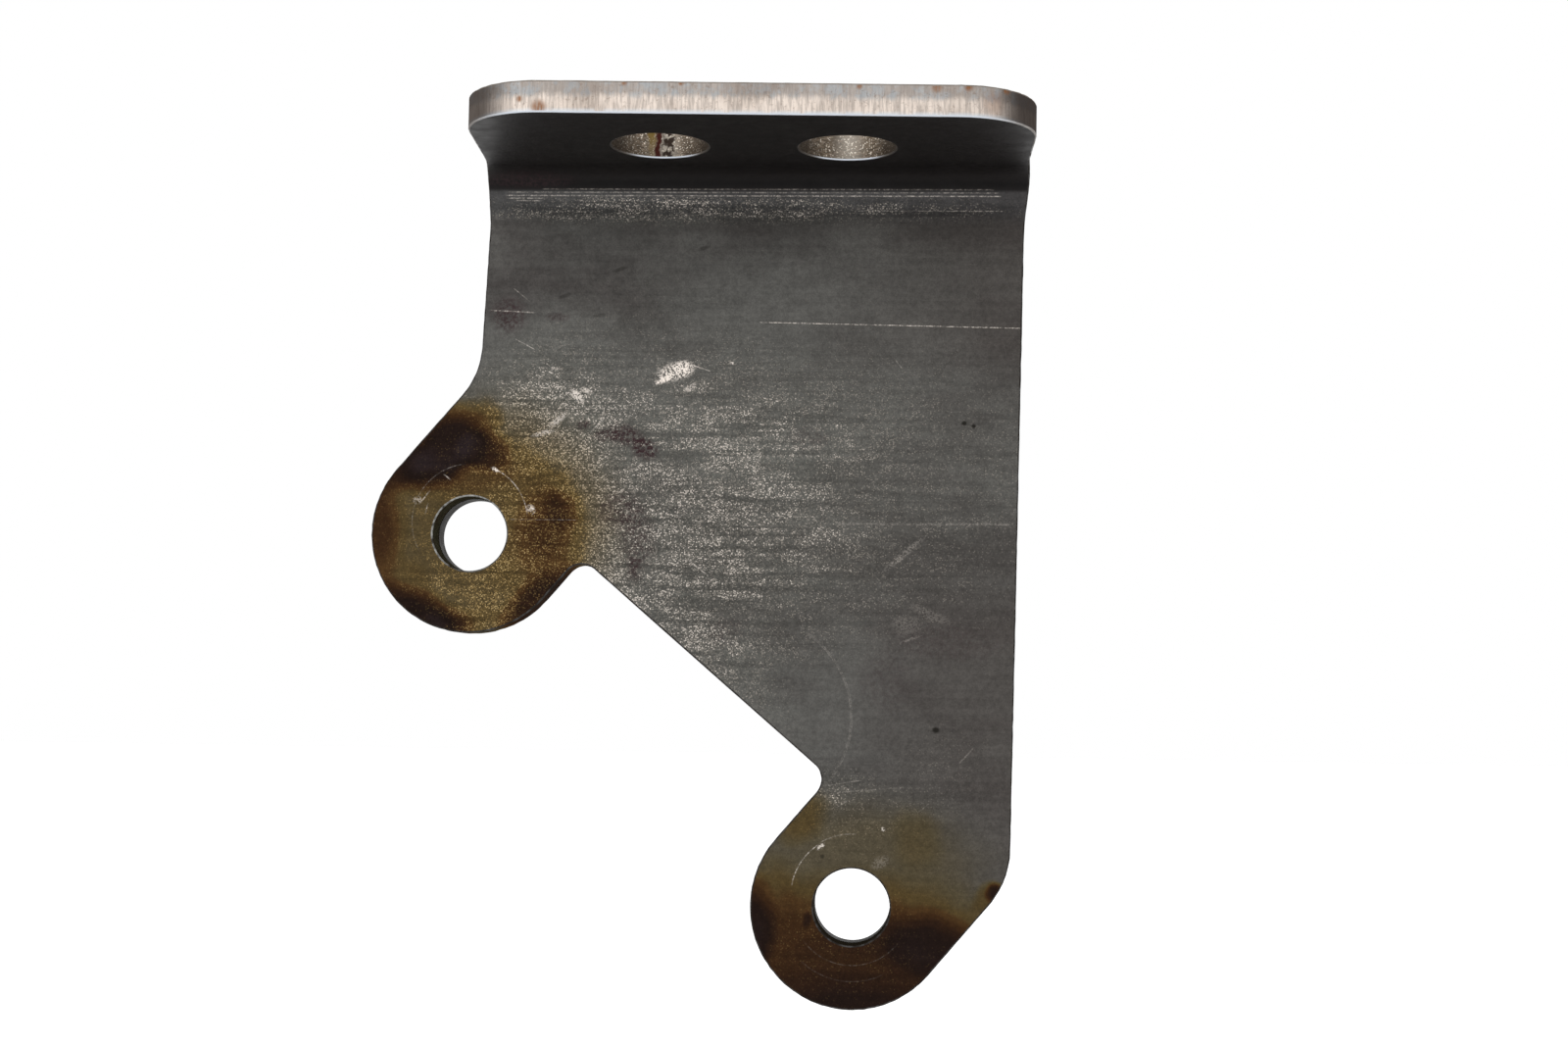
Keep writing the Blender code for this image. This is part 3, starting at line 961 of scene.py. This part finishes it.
def bore_wall():
    material, tree, shader = new_material("heated_bore_steel")
    flat = blank_places(tree)
    hot = heat(places(tree).vector)
    rings = noise(flat.vector, 1.8, (0.3, 0.3, 2.0), detail=3.0, roughness=0.65)
    drift = noise(flat.vector, 0.25, detail=3.0)
    base = lay(BORE_DARK, BORE_LIGHT, ramp(rings, 0.35, 0.65))
    base = lay(base, BORE_BROWN, ramp(drift, 0.45, 0.68, 0.0, 0.7))
    base = lay(base, BORE_BURNT, ramp(hot, 0.2, 0.5, 0.2, 0.85))
    finish_look(shader, base, ramp(drift, 0.3, 0.7, 0.50, 0.66), 0.1, 0.0, BORE_TINT)
    bump(shader, rings, 0.5, 0.06)
    return material


HOLE_WALL = hole_wall()
BORE_WALL = bore_wall()
print("drilled materials:", HOLE_WALL.name, BORE_WALL.name)

# %% [markdown]
# ## Arrises
#
# An arris, the thin broken corner between a skin and a cut face, is bare steel where it has been
# rubbed, and its colour also carries a painted highlight, the brightest line on the part. Here that
# is the shelf's lower front corner, the far rims of the antenna holes and a burr on the upper bore.
# Round the web it carries painted shade. One material covers all of them and tells them apart by
# place, because the bevel that makes the corners can give them only one.

# %% Arris material
ARRIS_DARK = colour(66, 60, 56)
# the light, rubbed and burr colours are bare steel with a painted highlight in them
ARRIS_BARE_AND_HIGHLIGHT = colour(176, 176, 176)
ARRIS_SHELF = colour(128, 118, 108)
ARRIS_RUBBED_HIGHLIGHT = colour(206, 212, 220)
# painted shade on the web's arrises
ARRIS_WEB_SHADE = colour(42, 38, 35)
ARRIS_HOLE = colour(118, 112, 106)
ARRIS_BURR_HIGHLIGHT = colour(176, 176, 172)
ARRIS_TINT = (0.45, 0.45, 0.45, 1.0)
HOLE_BAND = ((-12.5, -11.5), (12.0, 13.0))
FAR_RIMS = ((4.0, 6.0), (11.5, 12.5))


def arris():
    material, tree, shader = new_material("arris_steel_rubbed_and_highlit")
    flat = blank_places(tree)
    here = places(tree)
    wear_noise = noise(flat.vector, 0.35, detail=4.0, roughness=0.7)
    base = lay(ARRIS_DARK, ARRIS_BARE_AND_HIGHLIGHT, ramp(wear_noise, 0.42, 0.66))

    # The shelf's lower front corner, with a painted highlight along it that fades towards the ends
    shelf = ramp(here.y, -8.0, 2.0, 1.0, 0.0)
    under = ramp(flat.depth, 2.5, 3.5, 1.0, 0.0)
    base = lay(base, ARRIS_SHELF, times(shelf, 0.8))
    corner = ramp(calc("ABSOLUTE", here.x), 44.0, 55.0, 0.95, 0.15)
    base = lay(base, ARRIS_RUBBED_HIGHLIGHT, times(shelf, under, corner))
    # painted shade: the web's arrises are darkened and lose their metal
    web = ramp(here.y, 2.0, WEB_FRONT / MM - 2.0, 0.0, 0.85)
    base = lay(base, ARRIS_WEB_SHADE, web)

    # The antenna holes' rims, with a painted highlight on the far lower rims
    from_middle = from_hole_middle(here)
    round_rim = times(between(here.y, *HOLE_BAND), ramp(from_middle, 10.4, 11.0, 0.85, 0.0))
    base = lay(base, ARRIS_HOLE, round_rim)
    rubbed = times(ramp(from_middle, 4.5, 8.0, 0.95, 0.0), between(here.y, *FAR_RIMS))
    base = lay(base, ARRIS_RUBBED_HIGHLIGHT, times(rubbed, under))

    # A burr on the upper bore's left and upper rim: bare steel, with a painted highlight that grows
    # towards its upper left
    across, up = offsets(here, LUG_CENTRES[0])
    rim = ramp(length(across, up), 9.0, 10.0, 1.0, 0.0)
    side = ramp(less(up, across), -6.0, 6.0, 0.25, 1.0)
    burr_highlight = times(rim, side, ramp(wear_noise, 0.35, 0.6))
    base = lay(base, ARRIS_BURR_HIGHLIGHT, burr_highlight)
    metallic = ramp(calc("SUBTRACT", web, rubbed, clamp=True), 0.0, 0.85, 0.8, 0.05)
    rough = ramp(wear_noise, 0.35, 0.65, 0.46, 0.30)
    finish_look(shader, base, rough, metallic, 0.0, ARRIS_TINT)
    bump(shader, wear_noise, 0.4, 0.05)
    return material


ARRIS = arris()
PLATE_MATERIALS = (MILL_SCALE, CUT_EDGE, HOLE_WALL, BORE_WALL, ARRIS)
print("plate materials:", [material.name for material in PLATE_MATERIALS])

# %% [markdown]
# ## The folded plate
#
# The construction solid already has the plate's true shape, so its mesh is copied, not redrawn.
# It arrives as loose triangles: the copy is merged, flat regions are dissolved back into large
# faces, and long outline edges are cut to short lengths. Each face is then sorted into skin,
# cut edge, hole wall or bore wall by unfolding it back to the flat blank, which tells depth in
# the plate at once, where a rule by direction would fail all along the bend.

# %% Sort the plate's faces
SAME_PLACE = 0.005 * MM
FLAT_ENOUGH = math.radians(0.4)
SKIN, CUT, HOLE, BORE, RIM = range(len(PLATE_MATERIALS))
BEND_AXIS_Y = WEB_FRONT - FOLD_RADIUS
BEND_AXIS_Z = -PLATE_THICKNESS - FOLD_RADIUS
BEND_LENGTH = FOLD_RADIUS * math.pi / 2
ROUND_HOLES = [(lug, LUG_BORE_RADIUS, BORE) for lug in (UPPER_LUG, LOWER_LUG)]
for side in (-1, 1):
    middle = Vector((side * ANTENNA_HOLE_OFFSET, side * ANTENNA_HOLE_SHIFT, 0.0))
    ROUND_HOLES.append((middle, ANTENNA_HOLE_RADIUS, HOLE))


def unfold(place):
    """A point's place on the flat blank: along the fold, across it, and depth in the plate."""
    if place.y <= BEND_AXIS_Y:
        return Vector((place.x, place.y - BEND_AXIS_Y, place.z + PLATE_THICKNESS))
    if place.z <= BEND_AXIS_Z:
        return Vector((place.x, BEND_LENGTH + BEND_AXIS_Z - place.z, place.y - WEB_FRONT))
    spoke_y = place.y - BEND_AXIS_Y
    spoke_z = place.z - BEND_AXIS_Z
    turn = math.atan2(spoke_y, spoke_z)
    return Vector((place.x, turn * FOLD_RADIUS, math.hypot(spoke_y, spoke_z) - FOLD_RADIUS))


def on_wall(place, axis_point, radius, kind, slack=0.15 * MM):
    """Whether a point lies on a round hole's wall. Antenna holes run along Z and bores along Y."""
    offset = place - axis_point
    reach = math.hypot(offset.x, offset.y if kind == HOLE else offset.z)
    return abs(reach - radius) < slack


def face_kind(face):
    depths = [unfold(vertex.co).z for vertex in face.verts]
    if max(depths) - min(depths) < PLATE_THICKNESS / 2:
        return SKIN
    middle = face.calc_center_median()
    for axis_point, radius, kind in ROUND_HOLES:
        if on_wall(middle, axis_point, radius, kind):
            return kind
    return CUT


def merged_copy(node, name):
    """A copy of a CAD node's mesh, and a bmesh of it with its loose triangles joined up."""
    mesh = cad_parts[node].data.copy()
    mesh.name = name
    joined = bmesh.new()
    joined.from_mesh(mesh)
    bmesh.ops.remove_doubles(joined, verts=joined.verts, dist=SAME_PLACE)
    bmesh.ops.dissolve_limit(
        joined,
        angle_limit=FLAT_ENOUGH,
        verts=joined.verts,
        edges=joined.edges,
    )
    return mesh, joined


print("bend, mm along the blank:", round(BEND_LENGTH / MM, 2), "and round holes:", len(ROUND_HOLES))

# %% [markdown]
# ## The plate's broken corners
#
# Nobody leaves a plate's corners sharp, and light catches the small rounds. A Bevel modifier
# breaks every sharp corner and gives the new strips the arris material. It is the quickest way to
# a real edge, since it follows every curve by itself. A Weighted Normal modifier then keeps the
# large faces looking flat up to the bevel. Both are turned into plain mesh for the next step.

# %% Dress the plate
ARRIS_WIDTH = 0.32 * MM
ARRIS_STEPS = 3
OUTLINE_STEP = 1.6 * MM
FLAT_FACE_WEIGHT = 60
SHARP_CORNER = math.radians(40)


def dressed_plate():
    mesh, plate = merged_copy("bracket_plate", "folded_plate")
    kinds = {face: face_kind(face) for face in plate.faces}
    outline = [
        edge
        for edge in plate.edges
        if {kinds[face] for face in edge.link_faces} == {SKIN, CUT}
        and edge.calc_length() > OUTLINE_STEP
    ]
    for edge in outline:
        cuts = int(edge.calc_length() / OUTLINE_STEP)
        bmesh.ops.subdivide_edges(plate, edges=[edge], cuts=cuts)
    for face in plate.faces:
        face.material_index = face_kind(face)
        face.smooth = True
    mesh.materials.clear()
    for material in PLATE_MATERIALS:
        mesh.materials.append(material)
    plate.to_mesh(mesh)
    plate.free()
    piece = into_scene("folded_plate", mesh)

    bevel = piece.modifiers.new("broken_corners", "BEVEL")
    bevel.width = ARRIS_WIDTH
    bevel.segments = ARRIS_STEPS
    bevel.limit_method = "ANGLE"
    bevel.angle_limit = SHARP_CORNER
    bevel.material = RIM
    bevel.use_clamp_overlap = True
    weighted = piece.modifiers.new("flat_faces_rule", "WEIGHTED_NORMAL")
    weighted.keep_sharp = False
    weighted.weight = FLAT_FACE_WEIGHT
    return piece


def bake_modifiers(piece):
    """Turn what the modifiers make into the piece's own plain mesh."""
    evaluated = piece.evaluated_get(bpy.context.evaluated_depsgraph_get())
    baked = bpy.data.meshes.new_from_object(evaluated)
    piece.modifiers.clear()
    piece.data = baked
    return piece


PLATE = bake_modifiers(dressed_plate())
print("plate faces after bevelling:", len(PLATE.data.polygons))

# %% [markdown]
# ## Ragged corners and the blank's coordinates
#
# A jet-cut corner is never a ruled line. Each vertex beside a cut edge is moved by about a tenth
# of a millimetre at most, by smooth noise on the flat blank, so that the corners catch the light
# unevenly. Drilled rims stay true circles. The same loop writes the "blank" attribute.

# %% Roughen the edges and write the attribute
RAGGEDNESS = 0.07 * MM
HOLE_RIM = 0.6 * MM
BROAD_LUMPS = 0.9
FINE_LUMPS = 2.6


def roughen(piece):
    mesh = piece.data
    kinds = [set() for _ in mesh.vertices]
    for face in mesh.polygons:
        for index in face.vertices:
            kinds[index].add(face.material_index)
    normals = [vertex.normal.copy() for vertex in mesh.vertices]
    blank = mesh.attributes.new("blank", "FLOAT_VECTOR", "POINT")
    for vertex, found, normal in zip(mesh.vertices, kinds, normals):
        flat = unfold(vertex.co) / MM
        blank.data[vertex.index].vector = flat
        drilled = any(on_wall(vertex.co, *hole, slack=HOLE_RIM) for hole in ROUND_HOLES)
        if RIM in found and SKIN not in found and not drilled:
            lump = lumps.noise(flat * BROAD_LUMPS) + 0.5 * lumps.noise(flat * FINE_LUMPS)
            vertex.co += normal * lump * RAGGEDNESS
    mesh.update()


roughen(PLATE)
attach(PLATE, "root")
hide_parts("bracket_plate")
print("blank attribute on", len(PLATE.data.vertices), "vertices")

# %% [markdown]
# ## Spacers
#
# Each spacer is a short sleeve, turned in a lathe: faced ends, a small chamfer at each corner
# but the one under the weld, and fine rings on every surface. Spinning a half-section round the
# bore's axis is the lathe's own method. More steps than the construction model has make it look
# truly round.

# %% Turned steel and the two sleeves
SPACER_LENGTH = upper_high.y - upper_low.y
CHAMFER = 0.4 * MM
TURN_STEPS = 144
SHARP_TURN = math.radians(35)
TURNED_DARK = colour(104, 101, 96)
TURNED_LIGHT = colour(158, 154, 147)
TURNED_BROWN = colour(78, 66, 56)
TURNED_HOT = colour(84, 66, 46)
# painted shade inside the bore
TURNED_INSIDE_SHADE = colour(30, 26, 20)
TURNED_TINT = (0.4, 0.38, 0.34, 1.0)


def turned_steel():
    material, tree, shader = new_material("turned_spacer_steel")
    here = places(tree)
    near = from_lug(here)
    pair = add("ShaderNodeCombineXYZ", i0=near, i1=here.y).outputs[0]
    flat_noise = {"noise_dimensions": "2D"}
    rings = add("ShaderNodeTexNoise", flat_noise, Vector=pair, Scale=3.2, Detail=3.0).outputs[0]
    drift = noise(here.vector, 0.2, detail=4.0, roughness=0.65)
    base = lay(TURNED_DARK, TURNED_LIGHT, ramp(rings, 0.35, 0.65))
    toe = ramp(here.y, WEB_BACK / MM + 2.5, WEB_BACK / MM + 5.6, 1.0, 0.0)
    hot = times(toe, ramp(drift, 0.25, 0.6, 0.6, 1.0), 0.85)
    base = lay(base, TURNED_HOT, hot)
    # Painted shade: the bore's inside is near black, rougher and almost without metal
    inside = ramp(near, LUG_BORE_RADIUS / MM + 0.1, LUG_BORE_RADIUS / MM + 0.5, 1.0, 0.0)
    base = lay(base, TURNED_BROWN, ramp(drift, 0.52, 0.72, 0.0, 0.6))
    base = lay(base, TURNED_INSIDE_SHADE, inside)
    rough = calc("MULTIPLY_ADD", inside, 0.22, ramp(drift, 0.3, 0.7, 0.30, 0.44))
    finish_look(shader, base, rough, ramp(inside, 0.0, 1.0, 0.8, 0.05), 0.1, TURNED_TINT)
    bump(shader, rings, 0.5, 0.05)
    return material


def spun(name, section, lug, steps, material):
    """Spin a closed half-section of (radius, distance from the web's back) round a bore."""
    lathe = bmesh.new()
    corners = [lathe.verts.new((radius, depth, 0.0)) for radius, depth in section]
    for first, second in zip(corners, corners[1:] + corners[:1]):
        lathe.edges.new((first, second))
    bmesh.ops.spin(
        lathe,
        geom=lathe.verts[:] + lathe.edges[:],
        cent=(0.0, 0.0, 0.0),
        axis=(0.0, 1.0, 0.0),
        angle=2 * math.pi,
        steps=steps,
        use_merge=True,
    )
    bmesh.ops.translate(lathe, verts=lathe.verts, vec=(lug.x, WEB_BACK, lug.z))
    bmesh.ops.recalc_face_normals(lathe, faces=lathe.faces)
    mesh = bpy.data.meshes.new(name)
    lathe.to_mesh(mesh)
    lathe.free()
    mesh.shade_smooth()
    mesh.set_sharp_from_angle(angle=SHARP_TURN)
    mesh.materials.append(material)
    return into_scene(name, mesh)


def sleeve_section():
    inner = LUG_BORE_RADIUS
    outer = SPACER_RADIUS
    far = SPACER_LENGTH
    return [
        (inner + CHAMFER, 0.0),
        (outer, 0.0),
        (outer, far - CHAMFER),
        (outer - CHAMFER, far),
        (inner + CHAMFER, far),
        (inner, far - CHAMFER),
        (inner, CHAMFER),
    ]


TURNED_STEEL = turned_steel()
for place, lug in (("upper", UPPER_LUG), ("lower", LOWER_LUG)):
    sleeve = spun(place + "_sleeve", sleeve_section(), lug, TURN_STEPS, TURNED_STEEL)
    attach(sleeve, "root")
    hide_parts(place + "_spacer")
    print(sleeve.name, len(sleeve.data.polygons), "faces")

# %% [markdown]
# ## Weld beads
#
# A fillet weld is laid as a row of small puddles, each frozen over the one before, which leaves
# a stack of crescents round the joint. It repeats and it follows a circle, so Geometry Nodes
# suit it well. A flat grid is bent: one side of it runs round the joint, the other round a small
# fillet section, and a wave that lags towards the bead's edges pushes the points out. Sweeping
# a section along a circle would give the same ring, but a grid already tells every point how far
# round and how far across it lies. One tree makes both beads, each with its own seed.

# %% Build the weld's node tree
WELD_INPUTS = [
    ("Foot radius", "NodeSocketFloat", SPACER_RADIUS),
    ("Leg", "NodeSocketFloat", 4.0 * MM),
    ("Crown", "NodeSocketFloat", 0.45 * MM),
    ("Ripples", "NodeSocketFloat", 52.0),
    ("Ripple height", "NodeSocketFloat", 0.32 * MM),
    ("Lag", "NodeSocketFloat", 1.6),
    ("Unevenness", "NodeSocketFloat", 0.5 * MM),
    ("Seed", "NodeSocketFloat", 3.0),
    ("Bead metal", "NodeSocketMaterial", None),
]
WELD_FACE_SHARE = 0.84
WELD_COLUMNS = 729
WELD_ROWS = 26
WELD_SEAM = 0.002 * MM


def part_of(value, low, high):
    """A straight ramp from 0 at low to 1 at high, held at both ends."""
    node = add("ShaderNodeMapRange", {"clamp": True}, Value=value, From_Min=low, From_Max=high)
    return node.outputs["Result"]


def wandering(turn, seed):
    """The hand wanders: slow noise round the joint, the same where the ends meet."""
    ring = {"i0": calc("COSINE", turn), "i1": calc("SINE", turn), "i2": seed}
    around = add("ShaderNodeCombineXYZ", **ring).outputs[0]
    noisy = add("ShaderNodeTexNoise", Vector=around, Scale=2.2, Detail=3.0).outputs[0]
    return less(noisy, 0.5)


def weld_tree():
    tree = bpy.data.node_groups.new("weld_bead", "GeometryNodeTree")
    for name, kind, default in WELD_INPUTS:
        socket = tree.interface.new_socket(name, in_out="INPUT", socket_type=kind)
        if default is not None:
            socket.default_value = default
    tree.interface.new_socket("Geometry", in_out="OUTPUT", socket_type="NodeSocketGeometry")
    size = tree.nodes.new("NodeGroupInput").outputs

    # A flat grid whose x will run round the joint and whose y will run round the section
    grid = add("GeometryNodeMeshGrid", tree=tree, i0=1.0, i1=1.0, i2=WELD_COLUMNS, i3=WELD_ROWS)
    position = tree.nodes.new("GeometryNodeInputPosition").outputs[0]
    spot = add("ShaderNodeSeparateXYZ", i0=position).outputs
    turn = calc("MULTIPLY_ADD", spot[0], 2 * math.pi, math.pi)
    share = calc("ADD", spot[1], 0.5)

    # Section: up the bead's face, down the sleeve's wall, and back along the plate
    halfway = (WELD_FACE_SHARE + 1) / 2
    up_face = part_of(share, 0.0, WELD_FACE_SHARE)
    down_wall = part_of(share, WELD_FACE_SHARE, halfway)
    along_plate = part_of(share, halfway, 1.0)
    swell = calc("SINE", times(up_face, math.pi))

    # Puddles: rounded humps that lag towards the bead's edges
    from_middle = calc("ABSOLUTE", calc("MULTIPLY_ADD", up_face, 2.0, -1.0))
    lag = times(from_middle, from_middle, size["Lag"])
    phase = calc("MULTIPLY_ADD", spot[0], size["Ripples"], lag)
    hump = calc("SINE", times(calc("FRACT", phase), math.pi))
    ripple = times(hump, size["Ripple height"], swell)
    uneven = times(wandering(turn, size["Seed"]), size["Unevenness"])
    bulge = calc("MULTIPLY_ADD", calc("ADD", size["Crown"], uneven), swell, ripple)

    # Distance from the sleeve's axis and height above the plate, then round the joint
    inward = less(calc("ADD", 1.0, along_plate), up_face)
    radius = calc("MULTIPLY_ADD", size["Leg"], inward, size["Foot radius"])
    radius = calc("ADD", radius, bulge)
    rise = times(less(up_face, down_wall), size["Leg"])
    right = times(radius, calc("COSINE", turn))
    up = times(radius, calc("SINE", turn))
    height = calc("ADD", rise, bulge)
    placed = add("ShaderNodeCombineXYZ", i0=right, i1=height, i2=up).outputs[0]
    shape = add("GeometryNodeSetPosition", Geometry=grid.outputs[0], Position=placed)
    shape = add("GeometryNodeMergeByDistance", Geometry=shape.outputs[0], Distance=WELD_SEAM)
    shape = add("GeometryNodeRealizeInstances", Geometry=shape.outputs[0])
    coat = {"Geometry": shape.outputs[0], "Material": size["Bead metal"]}
    coated = add("GeometryNodeSetMaterial", **coat).outputs[0]
    tree.links.new(coated, tree.nodes.new("NodeGroupOutput").inputs[0])
    return tree


WELD_TREE = weld_tree()
print("weld tree nodes:", len(WELD_TREE.nodes))

# %% [markdown]
# ## Weld metal and placing the beads
#
# Weld metal is silvery grey where it froze last and blue, brown or sooty where it oxidised.
# The colour reads object coordinates only, so both beads differ although one tree makes them.
# After evaluation each bead becomes a plain mesh, with its normals set to point outwards.

# %% Make both beads
WELD_DARK = colour(84, 80, 77)
WELD_LIGHT = colour(120, 117, 113)
WELD_BROWN = colour(88, 70, 52)
WELD_BLUE = colour(58, 60, 74)
WELD_SOOT = colour(44, 38, 36)
BEAD_SEEDS = {"upper": 3.0, "lower": 8.0}


def weld_metal():
    material, tree, shader = new_material("weld_bead_steel")
    here = places(tree)
    drift = noise(here.vector, 0.22, detail=4.0, roughness=0.65)
    fine = noise(here.vector, 1.8, detail=3.0, roughness=0.6)
    base = lay(WELD_DARK, WELD_LIGHT, ramp(fine, 0.35, 0.62))
    base = lay(base, WELD_BROWN, ramp(drift, 0.44, 0.60, 0.0, 0.65))
    base = lay(base, WELD_BLUE, ramp(drift, 0.34, 0.42, 0.4, 0.0))
    toe = ramp(here.y, WEB_BACK / MM, WEB_BACK / MM + 0.9, 0.7, 0.0)
    base = lay(base, WELD_SOOT, toe)
    finish_look(shader, base, ramp(drift, 0.3, 0.7, 0.32, 0.5), 0.85)
    bump(shader, fine, 0.2, 0.03)
    return material


def weld_bead(name, lug, tree, settings):
    bead = into_scene(name, bpy.data.meshes.new(name))
    modifier = bead.modifiers.new("laid_bead", "NODES")
    modifier.node_group = tree
    sockets = {item.name: item.identifier for item in tree.interface.items_tree}
    for label, value in settings.items():
        modifier[sockets[label]] = value
    bake_modifiers(bead)
    shape = bmesh.new()
    shape.from_mesh(bead.data)
    bmesh.ops.translate(shape, verts=shape.verts, vec=(lug.x, WEB_BACK, lug.z))
    bmesh.ops.recalc_face_normals(shape, faces=shape.faces)
    shape.to_mesh(bead.data)
    shape.free()
    bead.data.shade_smooth()
    return bead


WELD_METAL = weld_metal()
for place, lug in (("upper", UPPER_LUG), ("lower", LOWER_LUG)):
    settings = {"Seed": BEAD_SEEDS[place], "Bead metal": WELD_METAL}
    bead = weld_bead(place + "_bead", lug, WELD_TREE, settings)
    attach(bead, "root")
    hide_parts(place + "_weld")
    print(bead.name, len(bead.data.polygons), "faces")

# %% [markdown]
# ## Light, floor and background
#
# Metal shows its surroundings, so the surroundings are part of its colour. An even white world
# lets the steel's colours come out as they are written. The light that falls on rough surfaces
# is kept a little weaker than that, and two lamps larger than the part, one in front and one
# behind, round the edges. The floor is pale and lies below the part, which hangs on its bores.

# %% World, lamps and floor
WORLD_LIGHT = 0.8
FLOOR_DROP = 90 * MM
FLOOR_HALF_SIZE = 6.0
FLOOR_GLOW = 0.35
FLOOR_TONES = ((0.97, 0.97, 0.97, 1.0), (0.99, 0.99, 0.99, 1.0))
LIT_POINT = Vector((0.0, 0.0, -0.09))
KEY_LAMP = (Vector((-0.55, -1.25, 0.75)), 1.1, 4.0)
BACK_LAMP = (Vector((0.8, 1.3, 0.6)), 1.1, 4.0)


def soft_lamp(name, place, width, power):
    lamp = bpy.data.lights.new(name, "AREA")
    lamp.shape = "SQUARE"
    lamp.size = width
    lamp.energy = power
    holder = into_scene(name, lamp)
    holder.location = place
    holder.rotation_euler = (LIT_POINT - place).to_track_quat("-Z", "Y").to_euler()
    return holder


def seen_directly(tree):
    """1 for rays that look at a thing, straight or in a mirror, and 0 for soft light from it."""
    path = tree.nodes.new("ShaderNodeLightPath").outputs
    seen = calc("MAXIMUM", path["Is Camera Ray"], path["Is Glossy Ray"])
    return calc("MAXIMUM", seen, path["Is Transmission Ray"])


def white_world():
    world = bpy.data.worlds.new("white_studio")
    world.use_nodes = True
    bpy.context.scene.world = world
    tree = world.node_tree
    strength = calc("MULTIPLY_ADD", seen_directly(tree), 1 - WORLD_LIGHT, WORLD_LIGHT)
    feed(tree.nodes["Background"], Color=WHITE, Strength=strength)
    return world


def pale_floor():
    mesh = bpy.data.meshes.new("floor")
    plane = bmesh.new()
    bmesh.ops.create_grid(plane, x_segments=1, y_segments=1, size=FLOOR_HALF_SIZE)
    bmesh.ops.translate(plane, verts=plane.verts, vec=(0.0, 0.0, cad_low.z - FLOOR_DROP))
    plane.to_mesh(mesh)
    plane.free()
    material, tree, shader = new_material("pale_floor")
    vector = tree.nodes.new("ShaderNodeTexCoord").outputs["Object"]
    grain = add("ShaderNodeTexNoise", Vector=vector, Scale=3.0, Detail=2.0).outputs[0]
    feed(
        shader,
        Base_Color=lay(*FLOOR_TONES, grain),
        Roughness=0.9,
        Emission_Color=WHITE,
        Emission_Strength=times(seen_directly(tree), FLOOR_GLOW),
    )
    mesh.materials.append(material)
    floor = into_scene("floor", mesh)
    return floor


bpy.context.scene.view_settings.view_transform = "Standard"
white_world()
soft_lamp("front_lamp", *KEY_LAMP)
soft_lamp("back_lamp", *BACK_LAMP)
pale_floor()
print("floor lies", FLOOR_DROP / MM, "mm below the part")
